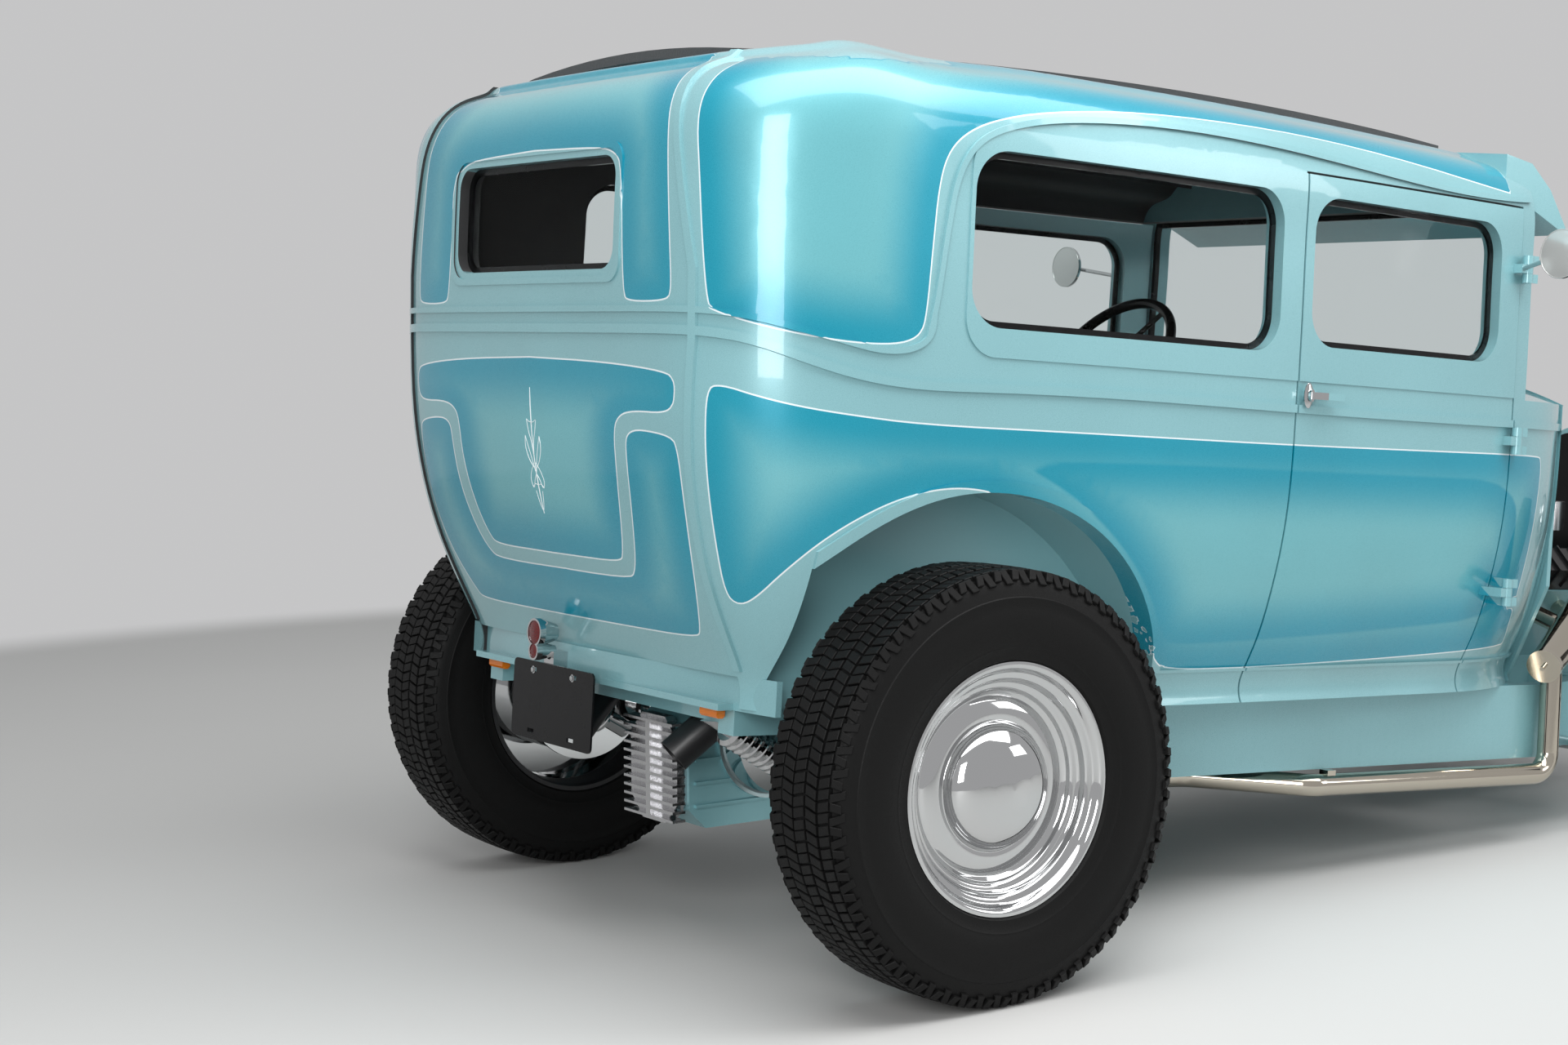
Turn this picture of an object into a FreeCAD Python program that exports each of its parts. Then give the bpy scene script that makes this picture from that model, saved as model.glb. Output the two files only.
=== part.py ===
import FreeCAD, Part
import Sketcher
import math
import os

from FreeCAD import Placement, Rotation, Vector

# Street rod sedan: a closed two-door body on a bare frame with an open engine.
# Lengths are millimetres. X points forward, Y to the left, Z up.
# Shapes are drawn with the rear axle at X = 0, and the finished car is moved back by
# origin_ahead, so that its origin lies on the floor under the middle of its box.
# The body and the frame are drawn level, and rake_angle then tips them nose down
# about the rear axle.

doc = FreeCAD.newDocument("street_rod")
sheet = doc.addObject("Spreadsheet::Sheet", "Sizes")
DRIVING_SIZES = [
    # Stance
    ("wheelbase", 2700), ("origin_ahead", 1275), ("running_gap", 5), ("fit_gap", 0.3),
    ("pin_gap", 0.1),
    ("overrun", 40),
    # Wheels and tyres
    ("rear_tyre_radius", 384), ("rear_tyre_width", 210), ("rear_tread_width", 168),
    ("rear_half_track", 730), ("rear_bead_radius", 214),
    ("front_tyre_radius", 328), ("front_tyre_width", 166), ("front_tread_width", 124),
    ("front_half_track", 702), ("front_bead_radius", 200),
    ("groove_width", 9), ("groove_depth", 7), ("shoulder_drop", 3), ("rim_lip", 9),
    ("rim_wall", 6), ("hub_cap_radius", 116), ("hub_cap_depth", 62),
    ("spindle_reach", 24),
    ("drum_radius", 140), ("wheel_bore", 22),
    # Body plan and heights
    ("belt_half_width", 695), ("taper_start", 250), ("taper_end", 1500), ("taper_depth", 95),
    ("cowl_pinch", 116), ("cowl_dome", 75), ("body_bottom", 488), ("rocker_height", 555),
    ("belt_height", 1125),
    ("edge_height", 1668), ("rear_edge_drop", 31), ("tail_reach", 538),
    ("corner_radius", 260), ("wall", 45), ("skin", 12),
    ("door_rear", 800), ("door_front", 1525), ("door_top", 1532),
    ("pillar_front", 1575), ("firewall_front", 1890), ("apron_height", 545),
    ("moulding_rise", 6), ("panel_rise", 3), ("belt_moulding", 16), ("drip_moulding", 11),
    ("belt_back_height", 1143), ("belt_side_height", 1074), ("belt_turn", 520),
    ("belt_settle", 200), ("upper_back_height", 1178), ("upper_side_height", 1128),
    ("upright_foot", 128), ("upright_lean", 62), ("drip_crest_rise", 39),
    ("arch_moulding", 22), ("cowl_band", 26), ("upright_moulding", 15),
    ("bead_half_width", 519), ("bead_low_half_width", 474), ("bead_high_half_width", 432),
    # Windows
    ("quarter_window_rear", -46), ("quarter_window_front", 735),
    ("quarter_window_bottom", 1180), ("window_top", 1490),
    ("door_window_rear", 828), ("door_window_front", 1448), ("door_window_bottom", 1198),
    ("window_radius", 70), ("back_window_half", 292),
    ("back_window_bottom", 1249), ("back_window_top", 1450), ("back_window_radius", 40),
    ("glass_thickness", 6), ("glass_depth", 20),
    # Wheel arch
    ("arch_centre", 40), ("arch_height", 369), ("arch_radius", 522), ("arch_rear_edge", -318),
    ("tub_inner", 470), ("tub_wall", 12), ("floor_margin", 12),
    # Roof insert
    ("insert_rear", -352), ("insert_front", 1490), ("insert_rise", 52),
    ("insert_thickness", 18), ("insert_radius", 120),
    # Frame
    ("rail_half_width", 450), ("rail_width", 50), ("rail_bottom", 322), ("rail_rear", -330),
    ("rail_front", 2790), ("rail_nose_half_width", 340), ("kickup_bottom", 436),
    # Doors and hinges
    ("hinge_ahead", 1520), ("hinge_out", 618), ("hinge_radius", 11), ("pin_radius", 5),
    ("hinge_length", 58), ("top_hinge_height", 1401), ("middle_hinge_height", 1037),
    ("low_hinge_height", 715),
    ("mirror_radius", 51), ("mirror_out", 766), ("mirror_ahead", 1436), ("mirror_height", 1424),
    # Front suspension and steering
    ("kingpin_half", 590), ("kingpin_radius", 12), ("kingpin_boss", 24), ("kingpin_height", 74),
    ("axle_drop", 96), ("beam_height", 52), ("beam_depth", 44), ("beam_web", 14),
    ("steering_arm", 140), ("tie_rod_radius", 11), ("tie_rod_below", 66), ("spindle_radius", 20),
    # Steering wheel
    ("wheel_hub_ahead", 1196), ("wheel_hub_out", 322), ("wheel_hub_height", 1173),
    ("wheel_rim_radius", 190), ("wheel_rim_section", 12), ("column_radius", 20),
    # Frame details
    ("kickup_start", 260), ("kickup_end", 430), ("nose_start", 1950), ("nose_rise", 2350),
    ("nose_top", 552), ("nose_bottom", 500), ("nose_mid_bottom", 470),
    ("crossmember_width", 80), ("front_crossmember_drop", 45), ("middle_crossmember_ahead", 900),
    ("middle_crossmember_height", 50), ("rear_crossmember_behind", 280),
    ("rear_crossmember_height", 40), ("tunnel_radius", 190),
    ("rear_floor_front", 260), ("rear_floor_top", 540),
    # Engine and gearbox
    ("engine_rear", 1985), ("engine_front", 2500), ("pan_bottom", 335), ("pan_half", 115),
    ("block_half", 145), ("crank_height", 480), ("deck_low_out", 262), ("deck_low_height", 690),
    ("deck_high_out", 196), ("deck_high_height", 756), ("valley_half", 95),
    ("valley_height", 655), ("cover_height", 62), ("cover_margin", 30),
    ("intake_height", 90), ("cleaner_radius", 150), ("cleaner_height", 70),
    ("cleaner_bottom", 830), ("carburettor_radius", 52),
    ("gearbox_height", 440), ("bell_radius", 172), ("gearbox_radius", 96),
    ("gearbox_rear", 1290), ("shaft_radius", 36),
    # Exhaust
    ("pipe_radius", 24), ("pipe_bend", 70), ("cone_top_ahead", 2180), ("cone_top_out", 330),
    ("cone_top_height", 655), ("cone_end_ahead", 1862), ("cone_end_out", 462),
    ("cone_end_height", 540), ("cone_big_radius", 56), ("cone_small_radius", 36),
    ("cap_radius", 39), ("cap_thickness", 14), ("port_radius", 21), ("muffler_radius", 52),
    ("muffler_rear", 330), ("muffler_front", 730), ("muffler_height", 345),
    ("pipe_inboard", 1150), ("pipe_crossing", 960), ("tip_radius", 34), ("tip_length", 150),
    ("pipe_low", 290), ("hanger_ahead", 1194), ("pipe_over_axle", 498), ("pipe_out", 445), ("pipe_in", 250),
    # Rear axle
    ("axle_tube_radius", 38), ("bell_wide_radius", 118), ("bell_small_radius", 50),
    ("bell_start", 92), ("bell_end", 300), ("case_half_width", 92), ("case_half_height", 112),
    ("case_centre", 327), ("case_rear", -190), ("web_rise", 7), ("web_width", 6),
    ("cover_base", 14), ("fin_width", 5),
    ("fin_margin", 8), ("case_front", 150), ("cover_rear", -226),
    ("plate_radius", 150), ("plate_thickness", 8),
    ("spring_radius", 38), ("spring_out", 330), ("spring_low", 345), ("ladder_out", 372),
    ("ladder_spread", 62), ("ladder_radius", 14),
    # Front axle, spring and hairpin rods
    ("leaf_width", 46), ("leaf_thickness", 24), ("leaf_half", 430), ("leaf_camber", 14),
    ("hairpin_out", 470), ("hairpin_spread", 44), ("hairpin_radius", 9),
    ("hairpin_rear", 1990), ("hairpin_rear_height", 212), ("hairpin_bush", 22),
    # Grille, radiator and lamps
    ("shell_rear", 2648), ("shell_front", 2762), ("shell_half", 212),
    ("shell_top", 1108), ("shell_wall", 24), ("shell_radius", 105), ("bar_radius", 4),
    ("bar_pitch", 20), ("radiator_thickness", 60), ("lamp_radius", 88),
    ("lamp_out", 330), ("lamp_height", 800), ("lamp_ahead", 2640), ("post_radius", 14),
    # Tail
    ("tail_lamp_out", 100), ("tail_lamp_height", 566), ("tail_lamp_rear", -432),
    ("lens_radius", 27), ("small_lens_radius", 18), ("tail_lamp_depth", 46),
    ("number_width", 305), ("number_height", 152), ("number_centre_out", 75),
    ("number_top", 505), ("number_rear", -400), ("marker_radius", 9), ("marker_length", 56),
    ("marker_out", 395), ("marker_behind", 341),
    ("apron_end", -316), ("apron_half", 556), ("apron_middle", -366), ("apron_bottom", 482),
    # Cabin
    ("seat_rear", 560), ("seat_front", 1080), ("seat_half", 480), ("cushion_bottom", 560),
    ("cushion_top", 760), ("seat_back_top", 1120), ("seat_back_depth", 130),
    ("rear_seat_rear", -285), ("rear_seat_front", 260), ("rear_seat_half", 440),
    ("seat_radius", 40), ("dash_rear", 1470), ("dash_front", 1529), ("dash_bottom", 1030),
    ("hinge_leaf", 12), ("hinge_reach", 26), ("handle_ahead", 832),
    ("handle_height", 1101), ("handle_radius", 14), ("handle_stand", 26), ("handle_length", 78),
    ("engine_mount_height", 46), ("visor_reach", 1705), ("visor_low", 1496),
    ("header_rear", 1492),
]

SCALES = {"rake_angle": 4.1, "column_angle": 35.0}

for row, (alias, value) in enumerate(DRIVING_SIZES, start=1):
    sheet.set("A%d" % row, alias)
    sheet.set("B%d" % row, str(value))
    sheet.setAlias("B%d" % row, alias)
doc.recompute()


def written(number):
    return number.text if isinstance(number, Length) else repr(float(number))


def joined(first, sign, second, value):
    return Length(value, "(%s %s %s)" % (written(first), sign, written(second)))


class Length(float):
    """A size that remembers which of the sheet's cells it was worked out from."""

    def __new__(cls, value, text):
        number = float.__new__(cls, value)
        number.text = text
        return number

    def __add__(self, other):
        return joined(self, "+", other, float(self) + float(other))

    def __radd__(self, other):
        return joined(other, "+", self, float(other) + float(self))

    def __sub__(self, other):
        return joined(self, "-", other, float(self) - float(other))

    def __rsub__(self, other):
        return joined(other, "-", self, float(other) - float(self))

    def __mul__(self, other):
        return joined(self, "*", other, float(self) * float(other))

    def __rmul__(self, other):
        return joined(other, "*", self, float(other) * float(self))

    def __truediv__(self, other):
        return joined(self, "/", other, float(self) / float(other))

    def __pow__(self, other):
        return joined(self, "^", other, float(self) ** float(other))

    def __neg__(self):
        return joined(0, "-", self, -float(self))


class Sizes:
    """The sheet's cells, read by their aliases."""

    def __getattr__(self, alias):
        return Length(float(sheet.get(alias)), "Sizes." + alias)


mm = Sizes()
rake_angle = SCALES["rake_angle"]
column_angle = SCALES["column_angle"]

CAR = Placement(Vector(-mm.origin_ahead, 0, 0), Rotation())
RAKE = Rotation(Vector(0, 1, 0), rake_angle)
axle_point = Vector(0, 0, mm.rear_tyre_radius)
RAKED = CAR.multiply(Placement(axle_point - RAKE.multVec(axle_point), RAKE))
HERE = Placement()
nodes = []


def bind(thing, name, value):
    """Give a property its size, as an expression where it comes from the sheet."""
    if isinstance(value, Length):
        thing.setExpression(name, value.text)
    else:
        setattr(thing, name, value)


def add_made(label, thing, place):
    """A finished sub-part takes its label and its placement."""
    thing.Label = label
    thing.Placement = place
    nodes.append(thing)
    return thing


def add_node(label, shape, place):
    """A sub-part whose surface no feature can draw: its shape, then its placement."""
    feature = doc.addObject("Part::Feature", label)
    feature.Shape = shape
    return add_made(label, feature, place)


def add_mirrored(label, source):
    """The piece of the other side."""
    other = doc.addObject("Part::Mirroring", label)
    other.Source = source
    other.Normal = Vector(0, 1, 0)
    other.Label = label
    nodes.append(other)
    return other


def add_both(stem, left, place):
    made = add_made(stem + "_left", left, place)
    add_mirrored(stem + "_right", made)
    return made


def own_shape(thing):
    """A finished object's shape in the frame in which it was drawn."""
    doc.recompute()
    shape = thing.Shape.copy()
    shape.Placement = Placement()
    return shape


# Sketches and features
def new_body(name):
    return doc.addObject("PartDesign::Body", name)


def new_sketch(body, plane, offset, rise):
    sketch = body.newObject("Sketcher::SketchObject", body.Name + "_outline")
    for datum in body.Origin.OriginFeatures:
        if datum.Role == plane:
            sketch.AttachmentSupport = [(datum, "")]
    sketch.MapMode = "FlatFace"
    sketch.AttachmentOffset = Placement(Vector(0, rise, offset), Rotation())
    for name, value in (("AttachmentOffset.Base.z", offset), ("AttachmentOffset.Base.y", rise)):
        if isinstance(value, Length):
            sketch.setExpression(name, value.text)
    return sketch


def tie_place(sketch, item, where, point):
    """Hold one point of a sketch at its two sizes."""
    for kind, axis, value in (("DistanceX", -2, point[0]), ("DistanceY", -1, point[1])):
        if value == 0:
            sketch.addConstraint(Sketcher.Constraint("PointOnObject", item, where, axis))
        else:
            index = sketch.addConstraint(
                Sketcher.Constraint(kind, -1, 1, item, where, float(value)))
            if isinstance(value, Length):
                sketch.setExpression("Constraints[%d]" % index, value.text)


def outline(body, plane, points, offset=0, rise=0):
    """A closed outline of straight runs."""
    sketch = new_sketch(body, plane, offset, rise)
    count = len(points)
    for index, (x, y) in enumerate(points):
        after = points[(index + 1) % count]
        sketch.addGeometry(Part.LineSegment(Vector(x, y, 0), Vector(after[0], after[1], 0)), False)
    for index in range(count):
        sketch.addConstraint(Sketcher.Constraint("Coincident", index, 2, (index + 1) % count, 1))
    for index, point in enumerate(points):
        tie_place(sketch, index, 1, point)
    return sketch


def circle(body, plane, centre, radius, offset=0, rise=0):
    sketch = new_sketch(body, plane, offset, rise)
    sketch.addGeometry(Part.Circle(Vector(centre[0], centre[1], 0), Vector(0, 0, 1), float(radius)),
                       False)
    tie_place(sketch, 0, 3, centre)
    index = sketch.addConstraint(Sketcher.Constraint("Radius", 0, float(radius)))
    if isinstance(radius, Length):
        sketch.setExpression("Constraints[%d]" % index, radius.text)
    return sketch


def oblong(x_range, y_range):
    return [(x_range[0], y_range[0]), (x_range[1], y_range[0]), (x_range[1], y_range[1]),
            (x_range[0], y_range[1])]


def pad(body, sketch, length, midplane=False):
    feature = body.newObject("PartDesign::Pad", body.Name + "_pad")
    feature.Profile = sketch
    bind(feature, "Length", length)
    feature.Midplane = midplane
    return feature


def turned(body, sketch, axis):
    feature = body.newObject("PartDesign::Revolution", body.Name + "_turned")
    feature.Profile = sketch
    feature.ReferenceAxis = (sketch, [axis])
    feature.Angle = 360
    return feature


def pocket(body, sketch, depth, backwards=False, midplane=False):
    """A recess, checked to have taken material away."""
    doc.recompute()
    before = body.Shape.Volume
    feature = body.newObject("PartDesign::Pocket", body.Name + "_pocket")
    feature.Profile = sketch
    bind(feature, "Length", depth)
    feature.Reversed = backwards
    feature.Midplane = midplane
    doc.recompute()
    if not body.Shape.Volume < before:
        raise RuntimeError("%s cut nothing" % feature.Name)
    return feature


def repeated(body, feature, direction, span, count):
    """Evenly spaced copies of a feature over a span."""
    doc.recompute()
    pattern = body.newObject("PartDesign::LinearPattern", body.Name + "_row")
    pattern.Originals = [feature]
    pattern.Direction = direction
    bind(pattern, "Length", span)
    pattern.Occurrences = count
    body.Tip = pattern
    doc.recompute()
    return pattern


def rounded(body, radius, wanted):
    """Round the edges of the body so far that a test picks out."""
    doc.recompute()
    base = body.Tip
    names = ["Edge%d" % (index + 1) for index, edge in enumerate(base.Shape.Edges) if wanted(edge)]
    feature = body.newObject("PartDesign::Fillet", body.Name + "_round")
    feature.Base = (base, names)
    bind(feature, "Radius", radius)
    return feature


# Plain forms and their joins
UPRIGHT = Rotation()
AHEAD = Rotation(Vector(0, 1, 0), 90)
OUTWARD = Rotation(Vector(1, 0, 0), -90)


def set_at(thing, corner, turn):
    thing.Placement = Placement(Vector(corner[0], corner[1], corner[2]), turn)
    for name, value in zip("xyz", corner):
        if isinstance(value, Length):
            thing.setExpression("Placement.Base." + name, value.text)
    return thing


def box_form(name, x_range, y_range, z_range):
    thing = doc.addObject("Part::Box", name)
    bind(thing, "Length", x_range[1] - x_range[0])
    bind(thing, "Width", y_range[1] - y_range[0])
    bind(thing, "Height", z_range[1] - z_range[0])
    return set_at(thing, (x_range[0], y_range[0], z_range[0]), UPRIGHT)


def round_form(name, radius, height, foot, turn):
    thing = doc.addObject("Part::Cylinder", name)
    bind(thing, "Radius", radius)
    bind(thing, "Height", height)
    return set_at(thing, foot, turn)


def cone_form(name, radii, height, foot, turn):
    thing = doc.addObject("Part::Cone", name)
    bind(thing, "Radius1", radii[0])
    bind(thing, "Radius2", radii[1])
    bind(thing, "Height", height)
    return set_at(thing, foot, turn)


def ball_form(name, radius, centre):
    thing = doc.addObject("Part::Sphere", name)
    bind(thing, "Radius", radius)
    return set_at(thing, centre, UPRIGHT)


def bar_form(name, radius, start, end):
    """A round bar from one point to another."""
    run = Vector(*end) - Vector(*start)
    return round_form(name, radius, run.Length, start, Rotation(Vector(0, 0, 1), run))


def one_piece(name, forms):
    thing = doc.addObject("Part::MultiFuse", name)
    thing.Shapes = forms
    thing.Refine = True
    return thing


def less(name, base, tool):
    thing = doc.addObject("Part::Cut", name)
    thing.Base = base
    thing.Tool = tool
    return thing


def both(name, first, second):
    thing = doc.addObject("Part::Common", name)
    thing.Base = first
    thing.Tool = second
    return thing


def group(name, things):
    thing = doc.addObject("Part::Compound", name)
    thing.Links = things
    return thing


def opposite(name, source):
    thing = doc.addObject("Part::Mirroring", name)
    thing.Source = source
    thing.Normal = Vector(0, 1, 0)
    return thing


# Solids for the curved body, which no sketch can draw
rear_edge_height = mm.edge_height - mm.rear_edge_drop
insert_crown = mm.edge_height + mm.insert_rise


def mirrored(shape):
    return shape.mirror(Vector(0, 0, 0), Vector(0, 1, 0))


def fused(shapes):
    whole = shapes[0]
    if len(shapes) > 1:
        whole = whole.fuse(shapes[1:])
    return whole.removeSplitter()


def largest(shape):
    return max(shape.Solids, key=lambda solid: solid.Volume)


def block(x_range, y_range, z_range):
    corner = Vector(x_range[0], y_range[0], z_range[0])
    return Part.makeBox(x_range[1] - x_range[0], y_range[1] - y_range[0],
                        z_range[1] - z_range[0], corner)


def along(solid, direction):
    """The straight edges of a solid that run along one direction."""
    chosen = []
    for edge in solid.Edges:
        if isinstance(edge.Curve, Part.Line):
            run = edge.tangentAt(edge.FirstParameter)
            if abs(run.dot(direction)) > 0.999:
                chosen.append(edge)
    return chosen


def soft_block(x_range, y_range, z_range, radius, direction):
    solid = block(x_range, y_range, z_range)
    return solid.makeFillet(radius, along(solid, direction))


def prism(outline, direction):
    """A solid from a closed outline of points, drawn out along a vector."""
    return Part.Face(Part.makePolygon(outline + outline[:1])).extrude(direction)


def rod(start, end, radius):
    run = end - start
    return Part.makeCylinder(radius, run.Length, start, run)


def bent_tube(points, radius, bend):
    """A round bar along straight runs, each bend a tangent arc."""
    edges = []
    start = points[0]
    for before, corner, after in zip(points, points[1:], points[2:]):
        back = (before - corner).normalize()
        ahead = (after - corner).normalize()
        half_turn = back.getAngle(ahead) / 2
        reach = bend / math.tan(half_turn)
        middle = (back + ahead).normalize()
        bow = bend / math.sin(half_turn) - bend
        first = corner + back * reach
        last = corner + ahead * reach
        edges.append(Part.LineSegment(start, first).toShape())
        edges.append(Part.Arc(first, corner + middle * bow, last).toShape())
        start = last
    edges.append(Part.LineSegment(start, points[-1]).toShape())
    path = Part.Wire(edges)
    section = Part.Wire(Part.makeCircle(radius, points[0], points[1] - points[0]))
    return path.makePipeShell([section], True, True)


# Body surface
# Rows climb from the sill to the edge of the roof insert. Each row gives the height at
# the sides and at the back, the inset from the belt outline, the reach of the tail and
# the radius of the rear corner.

def half_width(ahead):
    """Half the belt width at a place along the car."""
    past = max(0.0, ahead - mm.taper_start) / (mm.taper_end - mm.taper_start)
    taper = mm.taper_depth * past ** 1.5
    into_cowl = max(0.0, ahead - mm.door_front) / (mm.firewall_front - mm.door_front)
    return mm.belt_half_width - taper - mm.cowl_pinch * into_cowl ** 2


SILL_SHARES = [
    # height above the sill to the belt, inset, tail reach, corner radius
    (0.0, 0.1439, 0.654, 0.62), (0.105, 0.1396, 0.676, 0.66), (0.176, 0.1079, 0.716, 0.72),
    (0.333, 0.0576, 0.815, 0.86), (0.49, 0.0245, 0.890, 0.95), (0.647, 0.0058, 0.940, 1.0),
    (0.804, 0.0, 0.968, 1.0), (1.0, 0.0, 0.985, 1.0),
]
ROOF_SHARES = [
    # height from the belt to the roof edge, inset, tail reach, corner radius
    (0.322, 0.0029, 0.998, 0.98), (0.60, 0.0058, 1.0, 0.96), (0.764, 0.0115, 0.983, 0.92),
    (0.856, 0.0374, 0.942, 0.86), (0.921, 0.0906, 0.872, 0.76), (0.967, 0.187, 0.782, 0.64),
    (1.0, 0.3194, 0.654, 0.5),
]
CORNER_STEP_SHARES = (0.0, 0.2, 0.4, 0.6, 0.8, 1.0)
SIDE_STEP_SHARES = (0.07, 0.16, 0.27, 0.38, 0.49, 0.60, 0.71, 0.82, 0.88, 0.94, 1.0)
tail_crown_share = 0.012
roof_arch_share = 0.022


def body_rows():
    rows = []
    rise = mm.belt_height - mm.body_bottom
    for height, inset, tail, corner in SILL_SHARES:
        level = mm.body_bottom + height * rise
        rows.append((level, level, inset, tail, corner, 0.0))
    rise = mm.edge_height - mm.belt_height
    rear_rise = rear_edge_height - mm.belt_height
    for height, inset, tail, corner in ROOF_SHARES:
        rows.append((mm.belt_height + height * rise, mm.belt_height + height * rear_rise,
                     inset, tail, corner, height ** 3))
    return rows


def row_points(row):
    """Half a row, from the middle of the back to the cowl's front edge."""
    side_level, rear_level, inset_share, tail_share, corner_share, arch = row
    inset = inset_share * mm.belt_half_width
    tail = -tail_share * mm.tail_reach
    radius = corner_share * mm.corner_radius
    crown = tail_crown_share * mm.belt_half_width
    half = mm.belt_half_width - inset
    straight = half - radius
    points = [Vector(tail, 0, rear_level)]
    points.append(Vector(tail + crown / 4, straight / 2, rear_level))
    for step in CORNER_STEP_SHARES:
        turn = step * math.pi / 2
        level = rear_level + (side_level - rear_level) * step ** 2
        points.append(Vector(tail + crown + radius * (1 - math.cos(turn)),
                             straight + radius * math.sin(turn), level))
    start = points[-1].x
    for step in SIDE_STEP_SHARES:
        ahead = start + step * (mm.firewall_front + mm.overrun - start)
        middle = (mm.door_rear + mm.taper_start) / 2
        bow = roof_arch_share * mm.belt_height * ((ahead - middle) / mm.wheelbase * 2) ** 2
        points.append(Vector(ahead, half_width(ahead) - inset, side_level - arch * bow))
    return points


def body_grid():
    grid = []
    for row in body_rows():
        half = row_points(row)
        other = [Vector(point.x, -point.y, point.z) for point in half[1:]]
        grid.append(other[::-1] + half)
    return grid


def surface_through(grid):
    surface = Part.BSplineSurface()
    surface.interpolate(grid)
    return surface


def inner_grid(grid, surface, depth):
    """The grid moved in from the surface along its normals."""
    moved = []
    for row in grid:
        line = []
        for point in row:
            u, v = surface.parameter(point)
            normal = surface.normal(u, v)
            centre = Vector(mm.taper_start, 0, mm.belt_height)
            if normal.dot(centre - point) < 0:
                normal = normal * -1
            line.append(point + normal * depth)
        moved.append(line)
    return moved


def layer(depth_range):
    """The solid between two depths below the body's outer surface."""
    grid = body_grid()
    surface = surface_through(grid)
    outer = surface
    if depth_range[0]:
        outer = surface_through(inner_grid(grid, surface, depth_range[0]))
    inner = surface_through(inner_grid(grid, surface, depth_range[1]))
    outer_face = outer.toShape()
    inner_face = inner.toShape()
    rims = []
    for outer_edge, inner_edge in zip(outer_face.Edges, inner_face.Edges):
        rims.append(Part.makeRuledSurface(outer_edge, inner_edge))
    shell = Part.makeShell([outer_face, inner_face] + rims)
    shell.sewShape()
    solid = Part.makeSolid(Part.makeShell(shell.Faces))
    if solid.Volume < 0:
        solid.reverse()
    return solid


body_wall = layer((0, mm.wall))
glass_layer = layer((mm.glass_depth, mm.glass_depth + mm.glass_thickness))
moulding_layer = layer((-mm.moulding_rise, mm.skin))
raised_layer = layer((-mm.panel_rise, mm.skin))

far = mm.wheelbase
wide = mm.belt_half_width + mm.overrun
gap = mm.running_gap / 2
top_level = insert_crown + mm.overrun


def side_window(x_range, z_range, clear):
    """A window cutter with round corners, drawn through one side."""
    ahead = (x_range[0] + clear, x_range[1] - clear)
    up = (z_range[0] + clear, z_range[1] - clear)
    return soft_block(ahead, (mm.rail_half_width, wide), up, mm.window_radius, Vector(0, 1, 0))


quarter_range = (mm.quarter_window_rear, mm.quarter_window_front)
quarter_heights = (mm.quarter_window_bottom, mm.window_top)
door_range = (mm.door_window_rear, mm.door_window_front)
door_heights = (mm.door_window_bottom, mm.window_top)


def back_window(clear):
    half = mm.back_window_half - clear
    return soft_block((-mm.tail_reach - mm.overrun, 0), (-half, half),
                      (mm.back_window_bottom + clear, mm.back_window_top - clear),
                      mm.back_window_radius, Vector(1, 0, 0))


def between_beads():
    """The wedge of space between the two upright beads of the back."""
    low, belt, high = (mm.bead_low_half_width, mm.bead_half_width, mm.bead_high_half_width)
    right = [(-low, mm.body_bottom - mm.overrun), (-low, mm.rocker_height),
             (-belt, mm.belt_height), (-belt, mm.back_window_bottom),
             (-high, rear_edge_height), (-high, top_level)]
    outline = right + [(-out, level) for out, level in right[::-1]]
    points = [Vector(-mm.tail_reach - mm.overrun, out, level) for out, level in outline]
    return prism(points, Vector(mm.tail_reach + mm.overrun - mm.corner_radius / 2, 0, 0))


def wheel_arch(grow):
    """The arch's opening, round over the tyre and upright behind it."""
    round_part = Part.makeCylinder(mm.arch_radius + grow, wide - mm.rail_half_width,
                                   Vector(mm.arch_centre, mm.rail_half_width, mm.arch_height),
                                   Vector(0, 1, 0))
    window = block((mm.arch_rear_edge - grow, far), (mm.rail_half_width, wide),
                   (mm.body_bottom - mm.overrun, top_level))
    return round_part.common(window)


def dome_section(ahead, half, edge, crown, thickness):
    """A closed arched strip across the car."""
    over = Part.Arc(Vector(ahead, -half, edge), Vector(ahead, 0, crown),
                    Vector(ahead, half, edge)).toShape()
    under = Part.Arc(Vector(ahead, half, edge - thickness), Vector(ahead, 0, crown - thickness),
                     Vector(ahead, -half, edge - thickness)).toShape()
    left = Part.LineSegment(Vector(ahead, half, edge),
                            Vector(ahead, half, edge - thickness)).toShape()
    right = Part.LineSegment(Vector(ahead, -half, edge - thickness),
                             Vector(ahead, -half, edge)).toShape()
    return Part.Wire([over, left, under, right])


def edge_half(ahead):
    """Half the width of the opening in the roof."""
    return half_width(ahead) - ROOF_SHARES[-1][1] * mm.belt_half_width


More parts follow.
